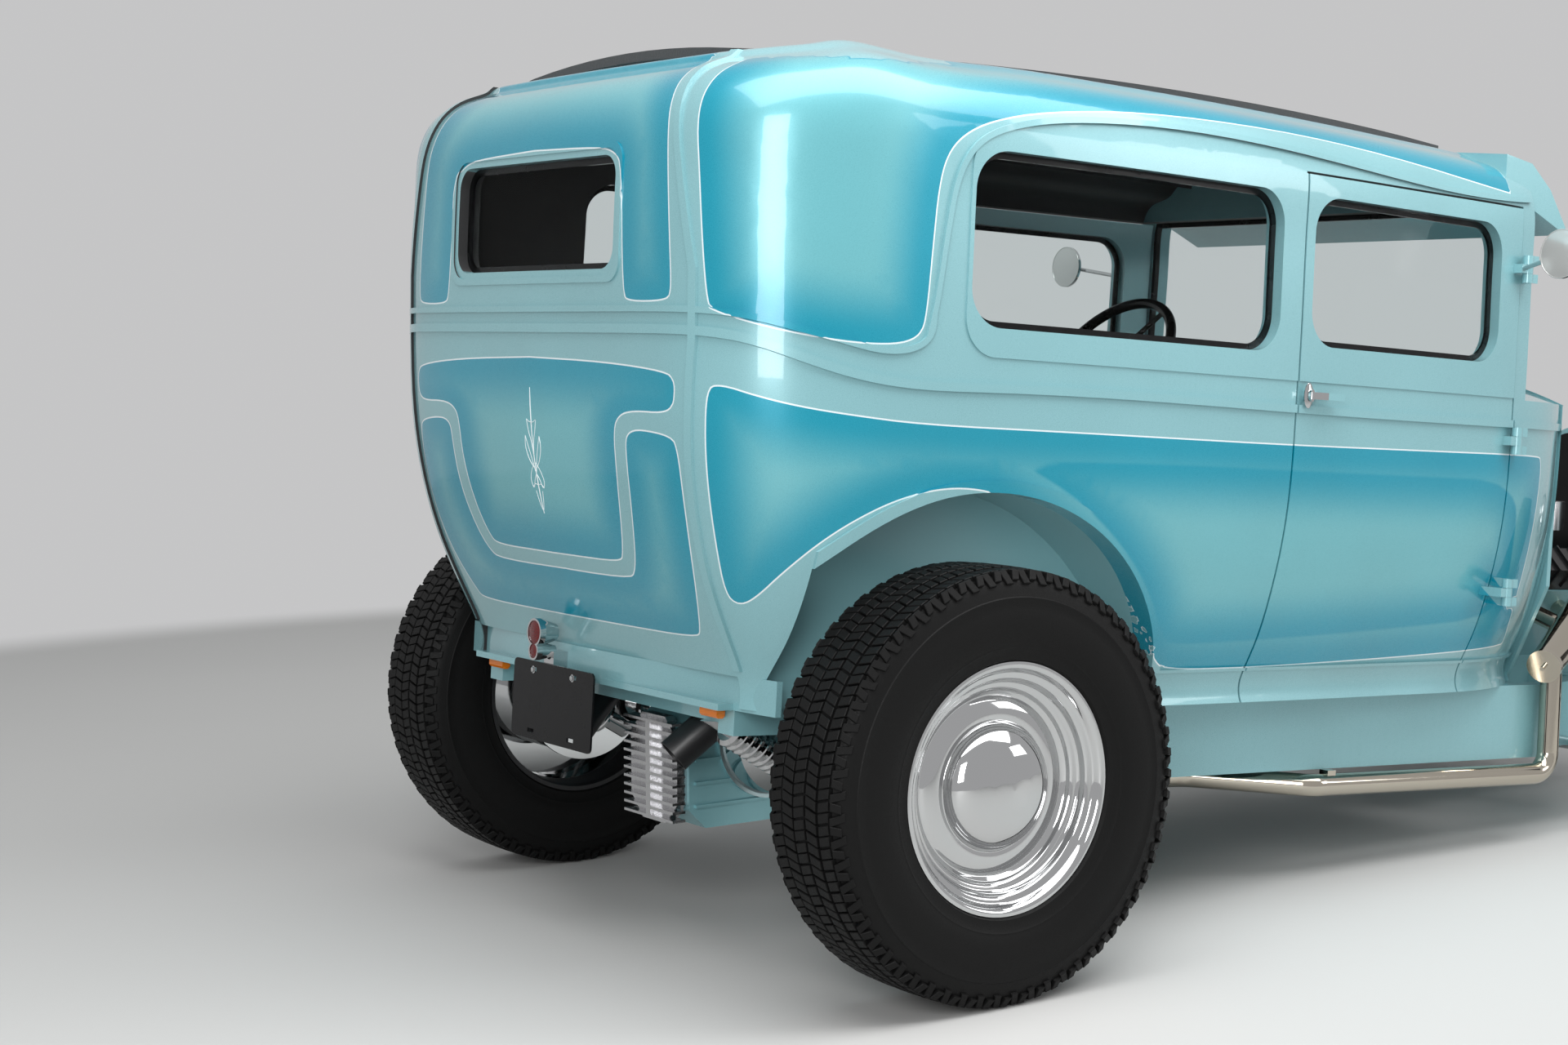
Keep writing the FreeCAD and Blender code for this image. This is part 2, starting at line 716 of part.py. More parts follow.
def roof_insert():
    """A crowned panel filling the opening between the roof edges."""
    sections = []
    length = mm.insert_front - mm.insert_rear
    for share, drop in INSERT_STATIONS:
        ahead = mm.insert_rear + share * length
        fall = drop * insert_crown
        sections.append(dome_section(ahead, wide, mm.edge_height - 2 * mm.insert_thickness - fall,
                                     insert_crown - fall, mm.insert_thickness))
    dome = Part.makeLoft(sections, True, False)
    front = mm.insert_front - mm.fit_gap
    rear = mm.insert_rear + mm.fit_gap
    points = []
    for share in INSERT_EDGE_SHARES:
        ahead = rear + mm.insert_radius + share * (front - rear - mm.insert_radius)
        points.append((ahead, edge_half(ahead) - mm.fit_gap))
    start = points[0]
    corner = (rear + mm.insert_radius * (1 - math.sqrt(0.5)),
              start[1] - mm.insert_radius * (1 - math.sqrt(0.5)))
    tip = (rear, start[1] - mm.insert_radius)
    low = rear_edge_height - mm.belt_height / 2
    left_side = Part.BSplineCurve()
    left_side.interpolate([Vector(x, y, low) for x, y in points])
    right_side = Part.BSplineCurve()
    right_side.interpolate([Vector(x, -y, low) for x, y in points])
    edges = [left_side.toShape(), right_side.toShape()]
    for sign in (1, -1):
        edges.append(Part.Arc(Vector(start[0], sign * start[1], low),
                              Vector(corner[0], sign * corner[1], low),
                              Vector(tip[0], sign * tip[1], low)).toShape())
    edges.append(Part.makeLine(Vector(tip[0], tip[1], low), Vector(tip[0], -tip[1], low)))
    edges.append(Part.makeLine(Vector(points[-1][0], points[-1][1], low),
                               Vector(points[-1][0], -points[-1][1], low)))
    outline = Part.Wire(Part.__sortEdges__(edges))
    return dome.common(Part.Face(outline).extrude(Vector(0, 0, mm.belt_height)))


INSERT_STATIONS = [(-0.02, 0.030), (0.15, 0.013), (0.35, 0.003), (0.55, 0.0), (0.8, 0.004),
                   (1.02, 0.016)]
INSERT_EDGE_SHARES = (0.0, 0.25, 0.5, 0.75, 1.0)

insert = roof_insert()


# Mouldings stand a little proud of the skin. Each is a strip drawn in the side view.
BELT_DROP_SHARES = [(0.0, 0.0), (0.16, 0.11), (0.38, 0.44), (0.62, 0.76), (1.0, 1.0)]
UPRIGHT_SHARES = [(-0.16, 0.07), (0.0, 0.18), (0.22, 0.42), (0.46, 0.70), (0.74, 0.88), (1.2, 1.0)]


def strip(line, half):
    """A strip of even width about a line of side-view points, through the whole car."""
    upper = []
    lower = []
    for index, (x, z) in enumerate(line):
        before = line[max(0, index - 1)]
        after = line[min(len(line) - 1, index + 1)]
        run = Vector(after[0] - before[0], 0, after[1] - before[1]).normalize()
        across = Vector(-run.z, 0, run.x) * half
        upper.append(Vector(x, -wide, z) + across)
        lower.append(Vector(x, -wide, z) - across)
    over = Part.BSplineCurve()
    over.interpolate(upper)
    under = Part.BSplineCurve()
    under.interpolate(lower[::-1])
    rim = [over.toShape(), Part.makeLine(upper[-1], lower[-1]), under.toShape(),
           Part.makeLine(lower[0], upper[0])]
    form = Part.Face(Part.Wire(rim)).extrude(Vector(0, 2 * wide, 0))
    if form.Volume < 0:
        form.reverse()
    return form.common(moulding_layer)


def dropping_line(back_height, side_height, stop):
    """From the back, level to the corner, then down round it to the side's height."""
    line = [(-mm.tail_reach - mm.overrun, back_height), (-mm.belt_turn, back_height)]
    reach = mm.belt_turn - stop
    for along_share, down_share in BELT_DROP_SHARES[1:]:
        line.append((-mm.belt_turn + along_share * reach,
                     back_height - down_share * (back_height - side_height)))
    return line


belt_line = dropping_line(mm.belt_back_height, mm.belt_side_height, mm.belt_settle)
belt_line += [(0.0, mm.belt_side_height), (mm.door_rear, mm.belt_side_height),
              (mm.firewall_front + mm.overrun, mm.belt_side_height)]
upper_line = dropping_line(mm.upper_back_height, mm.upper_side_height, mm.belt_settle)
climb = mm.window_top - mm.upper_side_height
for out_share, up_share in UPRIGHT_SHARES:
    upper_line.append((-mm.upright_foot + out_share * mm.upright_lean,
                       mm.upper_side_height + up_share * climb))
drip_start = upper_line[-1]
crest = mm.door_top + mm.drip_crest_rise
drip_line = upper_line[-6:]
upper_line = upper_line[:-4]
drip_line += [(drip_start[0] + mm.arch_radius / 6, drip_start[1] + mm.wall),
               (mm.arch_centre * 5, crest - mm.moulding_rise), (mm.door_rear, crest),
               (mm.pillar_front - mm.overrun / 2, mm.door_top + mm.drip_crest_rise / 2)]
sill_line = [(mm.arch_centre, mm.rocker_height), (mm.door_rear, mm.rocker_height),
             (mm.firewall_front + mm.overrun, mm.rocker_height)]
strips = [strip(belt_line, mm.belt_moulding / 2), strip(upper_line, mm.drip_moulding / 2),
          strip(drip_line, mm.drip_moulding / 2), strip(sill_line, mm.moulding_rise / 2)]


def window_panel():
    """The raised panel that carries the side windows, with one round corner."""
    rear = -mm.upright_foot + mm.upright_lean + mm.drip_moulding
    form = block((rear, mm.door_front - gap), (mm.rail_half_width, wide),
                 (mm.upper_side_height, mm.door_top - gap))
    corner = [edge for edge in along(form, Vector(0, 1, 0)) if edge.CenterOfMass.x < mm.arch_centre]
    return form.makeFillet(mm.window_radius, corner).common(raised_layer)


def arch_moulding():
    outer = Part.makeCylinder(mm.arch_radius + mm.arch_moulding, wide - mm.rail_half_width,
                              Vector(mm.arch_centre, mm.rail_half_width, mm.arch_height),
                              Vector(0, 1, 0))
    inner = Part.makeCylinder(mm.arch_radius - mm.skin, wide - mm.rail_half_width,
                              Vector(mm.arch_centre, mm.rail_half_width, mm.arch_height),
                              Vector(0, 1, 0))
    room = block((mm.arch_rear_edge, far), (0, wide), (mm.rocker_height, top_level))
    return outer.cut(inner).common(room).common(moulding_layer)


def upright_moulding():
    """The bead beside each upright seam of the back."""
    low, belt, high = (mm.bead_low_half_width, mm.bead_half_width, mm.bead_high_half_width)
    seam = [(low, mm.rocker_height), (belt, mm.belt_height), (belt, mm.back_window_bottom),
            (high, rear_edge_height)]
    other = [(out + mm.upright_moulding, level) for out, level in seam[::-1]]
    points = [Vector(-mm.tail_reach - mm.overrun, out, level) for out, level in seam + other]
    reach = mm.tail_reach + mm.overrun - mm.corner_radius / 2
    return prism(points, Vector(reach, 0, 0)).common(moulding_layer)


def back_window_moulding():
    outer = back_window(-mm.skin * 2)
    return outer.cut(back_window(-mm.skin)).common(raised_layer)


def with_mouldings(panel, region, extra, cutters):
    """Fuse onto a panel what crosses it of each moulding, cut as the panel is."""
    for piece in strips + extra:
        part = piece.common(region)
        for cutter in cutters:
            part = part.cut(cutter)
        if part.Solids:
            panel = panel.fuse(part)
    return panel


def quarter_panel():
    region = block((-mm.tail_reach - mm.overrun, mm.door_rear - gap), (0, wide),
                   (mm.body_bottom, top_level))
    cutters = [between_beads(), side_window(quarter_range, quarter_heights, 0), wheel_arch(0),
               insert]
    panel = body_wall.common(region)
    for cutter in cutters:
        panel = panel.cut(cutter)
    return with_mouldings(largest(panel), region,
                          [window_panel(), arch_moulding(), upright_moulding()], cutters)


def rear_panel():
    region = between_beads()
    cutters = [back_window(0), insert, block((-far, far), (-wide, wide), (0, mm.apron_height))]
    panel = body_wall.common(region)
    for cutter in cutters:
        panel = panel.cut(cutter)
    return with_mouldings(panel, region, [back_window_moulding()], cutters)


def door_panel():
    region = block((mm.door_rear + gap, mm.door_front - gap), (0, wide),
                   (mm.body_bottom, mm.door_top - gap))
    window = side_window(door_range, door_heights, 0)
    return with_mouldings(body_wall.common(region).cut(window), region, [window_panel()], [window])


def roof_sides():
    region = block((mm.door_rear - gap, mm.pillar_front), (-wide, wide),
                   (mm.door_top + gap, top_level))
    return with_mouldings(body_wall.common(region), region, [], [])


def surface_out(ahead, level):
    """How far out the body's side is, at a place along it and a height."""
    share = (level - mm.body_bottom) / (mm.belt_height - mm.body_bottom)
    inset = 0.0
    for low, high in zip(SILL_SHARES, SILL_SHARES[1:]):
        if low[0] <= share <= high[0]:
            inset = low[1] + (high[1] - low[1]) * (share - low[0]) / (high[0] - low[0])
    return half_width(ahead) - inset * mm.belt_half_width


def hinge_parts(level, forward):
    """One hinge's barrels and leaf: the door's third, or the body's two thirds."""
    third = mm.hinge_length / 3
    direction = 1 if forward else -1
    places = (0, 2) if forward else (1,)
    surface = surface_out(mm.hinge_ahead, level)
    parts = []
    for place in places:
        low = level - mm.hinge_length / 2 + place * third + mm.fit_gap
        height = third - 2 * mm.fit_gap
        foot = Vector(mm.hinge_ahead, mm.hinge_out, low)
        tip = mm.hinge_ahead + direction * mm.hinge_reach
        stem = tip - direction * mm.hinge_leaf
        ends = sorted((mm.hinge_ahead, tip))
        stems = sorted((stem, tip))
        parts.append(Part.makeCylinder(mm.hinge_radius, height, foot))
        parts.append(block(ends, (mm.hinge_out - mm.hinge_leaf / 2, mm.hinge_out + mm.hinge_leaf / 2),
                           (low, low + height)))
        parts.append(block(stems, (surface - mm.hinge_leaf, mm.hinge_out + mm.hinge_leaf / 2),
                           (low, low + height)))
    return parts


def hinge_pins():
    pins = []
    for level in hinge_levels:
        pins.append(Part.makeCylinder(mm.pin_radius, mm.hinge_length,
                                      Vector(mm.hinge_ahead, mm.hinge_out, level - mm.hinge_length / 2)))
    return pins


hinge_levels = (mm.top_hinge_height, mm.middle_hinge_height, mm.low_hinge_height)


def door_handle():
    surface = surface_out(mm.handle_ahead, mm.handle_height)
    start = Vector(mm.handle_ahead, surface - mm.handle_stand / 2, mm.handle_height)
    post = Part.makeCylinder(mm.handle_radius, mm.handle_stand, start, Vector(0, 1, 0))
    lever = block((mm.handle_ahead - mm.handle_radius, mm.handle_ahead + mm.handle_length),
                  (surface + mm.handle_stand / 2, surface + mm.handle_stand),
                  (mm.handle_height - mm.handle_radius / 2, mm.handle_height + mm.handle_radius / 2))
    return [post, lever]


def whole_door():
    parts = [door_panel()] + door_handle()
    for level in hinge_levels:
        parts += hinge_parts(level, False)
    door = fused(parts)
    for level in hinge_levels:
        door = door.cut(Part.makeCylinder(mm.pin_radius + mm.pin_gap, mm.hinge_length,
                                          Vector(mm.hinge_ahead, mm.hinge_out,
                                                 level - mm.hinge_length / 2)))
    return door


quarter_left = quarter_panel()
add_mirrored("quarter_panel_right", add_node("quarter_panel_left", quarter_left, RAKED))
add_node("rear_panel", rear_panel(), RAKED)
door_left = add_node("door_left", whole_door(), RAKED)
add_mirrored("door_right", door_left)


# Cowl, firewall and the dome over the dash
def dome_ring(ahead, low, crown, half, depth):
    """A closed arched strip over the cowl at one place along the car."""
    over = Part.Arc(Vector(ahead, -half, low), Vector(ahead, 0, crown),
                    Vector(ahead, half, low)).toShape()
    under = Part.Arc(Vector(ahead, half - depth, low - depth / 2), Vector(ahead, 0, crown - depth),
                     Vector(ahead, depth - half, low - depth / 2)).toShape()
    left = Part.makeLine(Vector(ahead, half, low), Vector(ahead, half - depth, low - depth / 2))
    right = Part.makeLine(Vector(ahead, depth - half, low - depth / 2), Vector(ahead, -half, low))
    return Part.Wire([over, left, under, right])


def cowl_dome(places, rise, depth):
    sections = []
    for ahead in places:
        sections.append(dome_ring(ahead, mm.belt_height, mm.belt_height + mm.cowl_dome + rise,
                                  half_width(ahead) + rise, depth))
    return Part.makeLoft(sections, True, True)


def firewall(walls):
    """The plate across the front of the cabin, with its passage for the gearbox."""
    start = mm.firewall_front - mm.skin
    half = half_width(mm.firewall_front)
    low_half = half - SILL_SHARES[0][1] * mm.belt_half_width
    over = Part.Arc(Vector(start, -half, mm.belt_height),
                    Vector(start, 0, mm.belt_height + mm.cowl_dome),
                    Vector(start, half, mm.belt_height)).toShape()
    corners = [Vector(start, half, mm.belt_height), Vector(start, half, mm.low_hinge_height),
               Vector(start, low_half, mm.body_bottom), Vector(start, -low_half, mm.body_bottom),
               Vector(start, -half, mm.low_hinge_height), Vector(start, -half, mm.belt_height)]
    plate = Part.Face(Part.Wire([over] + Part.makePolygon(corners).Edges))
    plate = plate.extrude(Vector(mm.skin, 0, 0))
    passage = Part.makeCylinder(mm.tunnel_radius - mm.skin, mm.wheelbase,
                                Vector(0, 0, mm.gearbox_height), Vector(1, 0, 0))
    return plate.cut(body_wall).cut(passage).cut(walls)


def cowl():
    region = block((mm.door_front + gap, mm.firewall_front), (-wide, wide),
                   (mm.body_bottom, mm.belt_height))
    band = block((mm.firewall_front - mm.cowl_band, mm.firewall_front), (-wide, wide),
                 (mm.body_bottom, mm.belt_height)).common(moulding_layer)
    sides = with_mouldings(body_wall.common(region), region, [], [])
    region = block((mm.door_front + gap, mm.pillar_front), (-wide, wide),
                   (mm.belt_height, mm.door_top + gap))
    pillars = with_mouldings(body_wall.common(region), region, [], [])
    dome = cowl_dome((mm.pillar_front - mm.wall, (mm.pillar_front + mm.firewall_front) / 2,
                      mm.firewall_front), 0, mm.skin)
    ring = cowl_dome((mm.firewall_front - mm.cowl_band, mm.firewall_front), mm.moulding_rise,
                     mm.skin / 2 + mm.moulding_rise)
    plate = firewall(dome.fuse(ring))
    hinges = hinge_pins()
    for level in hinge_levels:
        hinges += hinge_parts(level, True)
    hinges = fused(hinges)
    return fused([sides, pillars, dome, ring, band, plate, hinges, mirrored(hinges)])


cowl_left_right = cowl()
add_node("cowl", cowl_left_right, RAKED)
add_node("roof_insert", insert, RAKED)


# Header over the windshield, with the visor that reaches forward from it
HEADER_STATION_SHARES = (-1.0, -0.75, -0.4, 0.0, 0.4, 0.75, 1.0)


def header():
    sections = []
    for share in HEADER_STATION_SHARES:
        out = share * (half_width(mm.pillar_front) - mm.wall / 2)
        crown = (insert_crown - mm.edge_height) * (1 - share ** 2) / 2
        rear_top = mm.edge_height - mm.skin * 2 + crown
        outline = [(mm.header_rear, rear_top), (mm.pillar_front, rear_top - mm.skin),
                   ((mm.pillar_front + mm.visor_reach) / 2,
                    (rear_top + mm.visor_low) / 2 + mm.skin),
                   (mm.visor_reach, mm.visor_low),
                   (mm.visor_reach - mm.skin / 2, mm.visor_low - mm.skin / 2),
                   (mm.pillar_front + mm.skin, mm.door_top + gap),
                   (mm.header_rear, mm.door_top + gap)]
        points = [Vector(x, out, z) for x, z in outline]
        sections.append(Part.makePolygon(points + points[:1]))
    return Part.makeLoft(sections, True, True)


add_node("roof_surround", fused([roof_sides(), header()]), RAKED)


# Frame: each rail is lofted straight from section to section
def rail_sections():
    """Places along the rail: ahead, outer face, bottom and top."""
    straight = mm.rail_half_width
    nose = mm.rail_nose_half_width
    cowl_out = straight - (straight - nose) / 3
    return [
        (mm.rail_rear, straight, mm.kickup_bottom, mm.body_bottom),
        (mm.kickup_start, straight, mm.kickup_bottom, mm.body_bottom),
        (mm.kickup_end, straight, mm.rail_bottom, mm.body_bottom),
        (mm.nose_start, cowl_out, mm.rail_bottom, mm.body_bottom),
        (mm.nose_rise, nose + (cowl_out - nose) / 2, mm.nose_mid_bottom,
         (mm.body_bottom + mm.nose_top) / 2),
        (mm.rail_front, nose, mm.nose_bottom, mm.nose_top),
    ]


def rail_out(ahead):
    """The rail's outer face at a place along the car."""
    sections = rail_sections()
    for rear, front in zip(sections, sections[1:]):
        if rear[0] <= ahead <= front[0]:
            share = (ahead - rear[0]) / (front[0] - rear[0])
            return rear[1] + share * (front[1] - rear[1])
    return sections[-1][1]


rail_body = new_body("frame_rail_left")
profiles = [outline(rail_body, "YZ_Plane", oblong((out - mm.rail_width, out), (low, high)), ahead)
            for ahead, out, low, high in rail_sections()]
rail_loft = rail_body.newObject("PartDesign::AdditiveLoft", "frame_rail_left_loft")
rail_loft.Profile = profiles[0]
rail_loft.Sections = profiles[1:]
rail_loft.Ruled = True
rail_left = own_shape(rail_body)
rails = rail_left.fuse(mirrored(rail_left))
add_both("frame_rail", rail_body, RAKED)
rail_pair = group("rail_pair", [rail_body, nodes[-1]])


def crossbar(name, ahead, depth, heights, reach):
    return box_form(name, (ahead - depth / 2, ahead + depth / 2), (-reach, reach), heights)


rail_middle = mm.rail_half_width - mm.rail_width / 2
nose_middle = mm.rail_nose_half_width - mm.rail_width / 2
bars = group("crossbars", [
    crossbar("front_bar", mm.wheelbase, mm.crossmember_width,
             (mm.nose_bottom, mm.nose_bottom + mm.front_crossmember_drop), nose_middle),
    crossbar("middle_bar", mm.middle_crossmember_ahead, mm.crossmember_width,
             (mm.rail_bottom, mm.rail_bottom + mm.middle_crossmember_height), rail_middle),
    crossbar("rear_bar", -mm.rear_crossmember_behind, mm.crossmember_width / 2,
             (mm.body_bottom - mm.rear_crossmember_height, mm.body_bottom), rail_middle)])
bars.Placement = RAKED
add_made("crossmembers", less("crossmembers", bars, rail_pair), HERE)




# Shares of the floor's length, and of the room it leaves for the doors there.
FLOOR_SHARES = ((0.0, 0.0), (0.3, 0.0), (0.5, 1.0), (0.8, 1.0), (0.86, 1.0), (1.0, 0.0))


def floor_pan():
    """Floor plate between the walls, gearbox tunnel and the two wheel tubs."""
    inner = SILL_SHARES[0][1] * mm.belt_half_width + mm.wall + mm.running_gap
    outline = []
    for share, door_share in FLOOR_SHARES:
        ahead = mm.rail_rear + share * (mm.firewall_front - mm.skin - mm.rail_rear)
        outline.append((ahead, half_width(ahead) - inner - door_share * mm.floor_margin))
    points = [Vector(x, y, mm.body_bottom) for x, y in outline]
    points += [Vector(x, -y, mm.body_bottom) for x, y in outline[::-1]]
    plate = largest(prism(points, Vector(0, 0, mm.skin)).cut(body_wall))
    rear_room = block((-far, mm.rear_floor_front), (-wide, wide), (0, far))
    lift = mm.rear_floor_top - mm.body_bottom - mm.skin
    raised = plate.common(rear_room).translated(Vector(0, 0, lift))
    riser = block((mm.rear_floor_front, mm.rear_floor_front + mm.skin),
                  (inner - mm.belt_half_width, mm.belt_half_width - inner),
                  (mm.body_bottom, mm.rear_floor_top))
    plate = fused([plate.cut(rear_room), riser, raised.cut(body_wall)])
    tunnel_rear = mm.gearbox_rear - mm.overrun
    tunnel_run = mm.firewall_front - mm.skin - tunnel_rear
    start = Vector(tunnel_rear, 0, mm.gearbox_height)
    forward = Vector(1, 0, 0)
    tunnel = Part.makeCylinder(mm.tunnel_radius, tunnel_run, start, forward)
    bore = Part.makeCylinder(mm.tunnel_radius - mm.skin, tunnel_run, start, forward)
    end = Part.makeCylinder(mm.tunnel_radius, mm.skin, start, forward)
    tunnel = tunnel.cut(bore).fuse(end)
    above = block((0, far), (-wide, wide), (mm.body_bottom, far))
    pan = plate.cut(bore).fuse(tunnel.common(above))
    tub_start = Vector(mm.arch_centre, mm.tub_inner, mm.arch_height)
    outward = Vector(0, 1, 0)
    tub_run = mm.belt_half_width - mm.tub_inner
    grown = mm.arch_radius + mm.tub_wall
    room = block((mm.arch_rear_edge - mm.tub_wall, far), (mm.tub_inner, wide),
                 (mm.body_bottom, far))
    tub = Part.makeCylinder(grown, tub_run, tub_start, outward).common(room)
    hollow = Part.makeCylinder(mm.arch_radius, tub_run, tub_start + outward * mm.tub_wall, outward)
    hollow = hollow.common(block((mm.arch_rear_edge, far), (mm.tub_inner, wide), (0, far)))
    below = Part.makeCylinder(mm.arch_radius, tub_run, tub_start + outward * mm.tub_wall, outward)
    pan = pan.cut(below).cut(mirrored(below))
    tub = largest(tub.cut(hollow).cut(body_wall))
    return fused([pan, tub, mirrored(tub)])


def rear_apron():
    """A curved pan that closes the body's tail down to the frame."""
    over = Part.Arc(Vector(mm.apron_end, -mm.apron_half, mm.apron_bottom),
                    Vector(mm.apron_middle, 0, mm.apron_bottom),
                    Vector(mm.apron_end, mm.apron_half, mm.apron_bottom)).toShape()
    deep = Vector(mm.skin, 0, 0)
    under = over.translated(deep)
    ends = [Part.makeLine(Vector(mm.apron_end, side * mm.apron_half, mm.apron_bottom),
                          Vector(mm.apron_end, side * mm.apron_half, mm.apron_bottom) + deep)
            for side in (1, -1)]
    face = Part.Face(Part.Wire(Part.__sortEdges__([over, under] + ends)))
    pan = face.extrude(Vector(0, 0, mm.apron_height - mm.apron_bottom))
    shelf = block((mm.apron_middle, mm.rail_rear + mm.skin),
                  (-mm.rail_half_width, mm.rail_half_width),
                  (mm.apron_bottom, mm.apron_bottom + mm.skin))
    return fused([pan, shelf]).cut(rails)


apron = rear_apron().cut(quarter_left).cut(mirrored(quarter_left))
apron = largest(apron)
floor = floor_pan().cut(apron)
add_node("floor_pan", floor, RAKED)
rear_apron_made = add_node("rear_apron", apron, RAKED)


# Glass
def glazed(cutters):
    return Part.makeCompound([glass_layer.common(cutter) for cutter in cutters])


quarter_cutter = side_window(quarter_range, quarter_heights, mm.fit_gap)
add_node("fixed_glass", glazed([quarter_cutter, mirrored(quarter_cutter),
                                back_window(mm.fit_gap)]), RAKED)
door_pane = glass_layer.common(side_window(door_range, door_heights, mm.fit_gap))
add_mirrored("door_glass_right", add_node("door_glass_left", door_pane, RAKED))
pillar_half = half_width(mm.pillar_front)
windshield = block((mm.pillar_front - mm.wall, mm.pillar_front - mm.wall + mm.skin),
                   (-pillar_half, pillar_half), (mm.belt_height, mm.door_top + gap))
add_node("windshield", largest(windshield.cut(cowl_left_right)), RAKED)


# Cabin
def bench(label, rear, front, half, floor_level):
    """Base, cushion and a back that leans a little, each drawn in the side view."""
    body = new_body(label)
    soft = mm.seat_radius
    deep = mm.seat_back_depth
    pad(body, outline(body, "XZ_Plane", oblong((rear + soft, front - soft),
                                               (floor_level, mm.cushion_bottom + soft))),
        2 * (half - soft), True)
    low, high = (mm.cushion_bottom, mm.cushion_top)
    cushion = [(rear, low + soft), (rear + soft, low), (front - soft, low), (front, low + soft),
               (front, high - soft), (front - soft, high), (rear + soft, high), (rear, high - soft)]
    pad(body, outline(body, "XZ_Plane", cushion), 2 * half, True)
    top = mm.seat_back_top
    back = [(rear, high - soft), (rear + deep, high - soft), (rear + deep, top - soft),
            (rear + deep - soft, top), (rear + soft, top), (rear, top - soft)]
    pad(body, outline(body, "XZ_Plane", back), 2 * half, True)
    return add_made(label, body, RAKED)


bench("front_seat", mm.seat_rear, mm.seat_front, mm.seat_half, mm.body_bottom + mm.skin)
bench("rear_seat", mm.rear_seat_rear, mm.rear_seat_front, mm.rear_seat_half, mm.rear_floor_top)

wheel_centre = Vector(mm.wheel_hub_ahead, mm.wheel_hub_out, mm.wheel_hub_height)
slope = math.radians(column_angle)
column_run = Vector(math.cos(slope), 0, -math.sin(slope))
hub_depth = mm.wheel_rim_section * 3
column_top = wheel_centre + column_run * (hub_depth / 2 + mm.fit_gap)
column_end = wheel_centre + column_run * (mm.firewall_front - mm.wheel_hub_ahead)
inside_cabin = box_form("inside_cabin", (mm.wheel_hub_ahead, mm.firewall_front - mm.skin),
                        (0.0, mm.belt_half_width), (mm.body_bottom, mm.window_top))
column = both("column_tube", bar_form("column_bar", mm.column_radius, column_top,
                                      column_end + column_run * mm.overrun), inside_cabin)
shaft = bar_form("column_shaft", mm.pin_radius, wheel_centre - column_run * mm.wheel_rim_section,
                 column_top)
add_made("steering_column", one_piece("steering_column", [column, shaft]), RAKED)

# The dash follows the cowl's arch: a box kept inside one wide cylinder
dash_half = half_width(mm.dash_front) - mm.wall - mm.running_gap
dash_sweep = (dash_half * dash_half + mm.cowl_dome * mm.cowl_dome) / (2 * mm.cowl_dome)
dash_crown = mm.belt_height + mm.cowl_dome
dash_box = box_form("dash_box", (mm.dash_rear, mm.dash_front), (-dash_half, dash_half),
                    (mm.dash_bottom, dash_crown))
dash_arch = round_form("dash_arch", dash_sweep, mm.dash_front - mm.dash_rear,
                       (mm.dash_rear, 0.0, dash_crown - dash_sweep), AHEAD)
hanger_half = mm.column_radius + mm.skin / 2
hanger = box_form("dash_hanger", (mm.dash_rear, mm.dash_front),
                  (mm.wheel_hub_out - hanger_half, mm.wheel_hub_out + hanger_half),
                  (mm.dash_bottom - mm.column_radius * 3, mm.dash_bottom))
dial_share, dial_rise_share = 0.8, 1.5
dials = [round_form("dial_%d" % index, mm.wall * dial_share, mm.skin / 3,
                    (mm.dash_rear - mm.skin / 3, place,
                     mm.dash_bottom + mm.wall * dial_rise_share), AHEAD)
         for index, place in enumerate((mm.wheel_hub_out - mm.wall, mm.wheel_hub_out + mm.wall))]
dash = one_piece("dash_whole", [both("dash_body", dash_box, dash_arch), hanger] + dials)
add_made("dashboard", less("dashboard", dash, column), RAKED)

spoke_reach = mm.wheel_rim_radius - mm.wheel_rim_section
rim = doc.addObject("Part::Torus", "wheel_rim")
bind(rim, "Radius1", spoke_reach)
bind(rim, "Radius2", mm.wheel_rim_section)
hub = round_form("wheel_hub", mm.column_radius, hub_depth, (0.0, 0.0, -hub_depth / 2), UPRIGHT)
spokes = []
for turn in (90, 210, 330):
    tip = Vector(math.cos(math.radians(turn)), math.sin(math.radians(turn)), 0) * spoke_reach
    spokes.append(bar_form("wheel_spoke_%d" % turn, mm.wheel_rim_section / 2, Vector(0, 0, 0), tip))
hub_bore = round_form("wheel_hub_bore", mm.pin_radius + mm.pin_gap, hub_depth,
                      (0.0, 0.0, -hub_depth / 2), UPRIGHT)
steering = less("steering_wheel", one_piece("wheel_whole", [rim, hub] + spokes), hub_bore)
wheel_place = Placement(wheel_centre, Rotation(Vector(0, 0, 1), column_run))
add_made("steering_wheel", steering, RAKED.multiply(wheel_place))


# Engine: the block is drawn in the front view and drawn out along the car
DECK_RIB_COUNT = 9


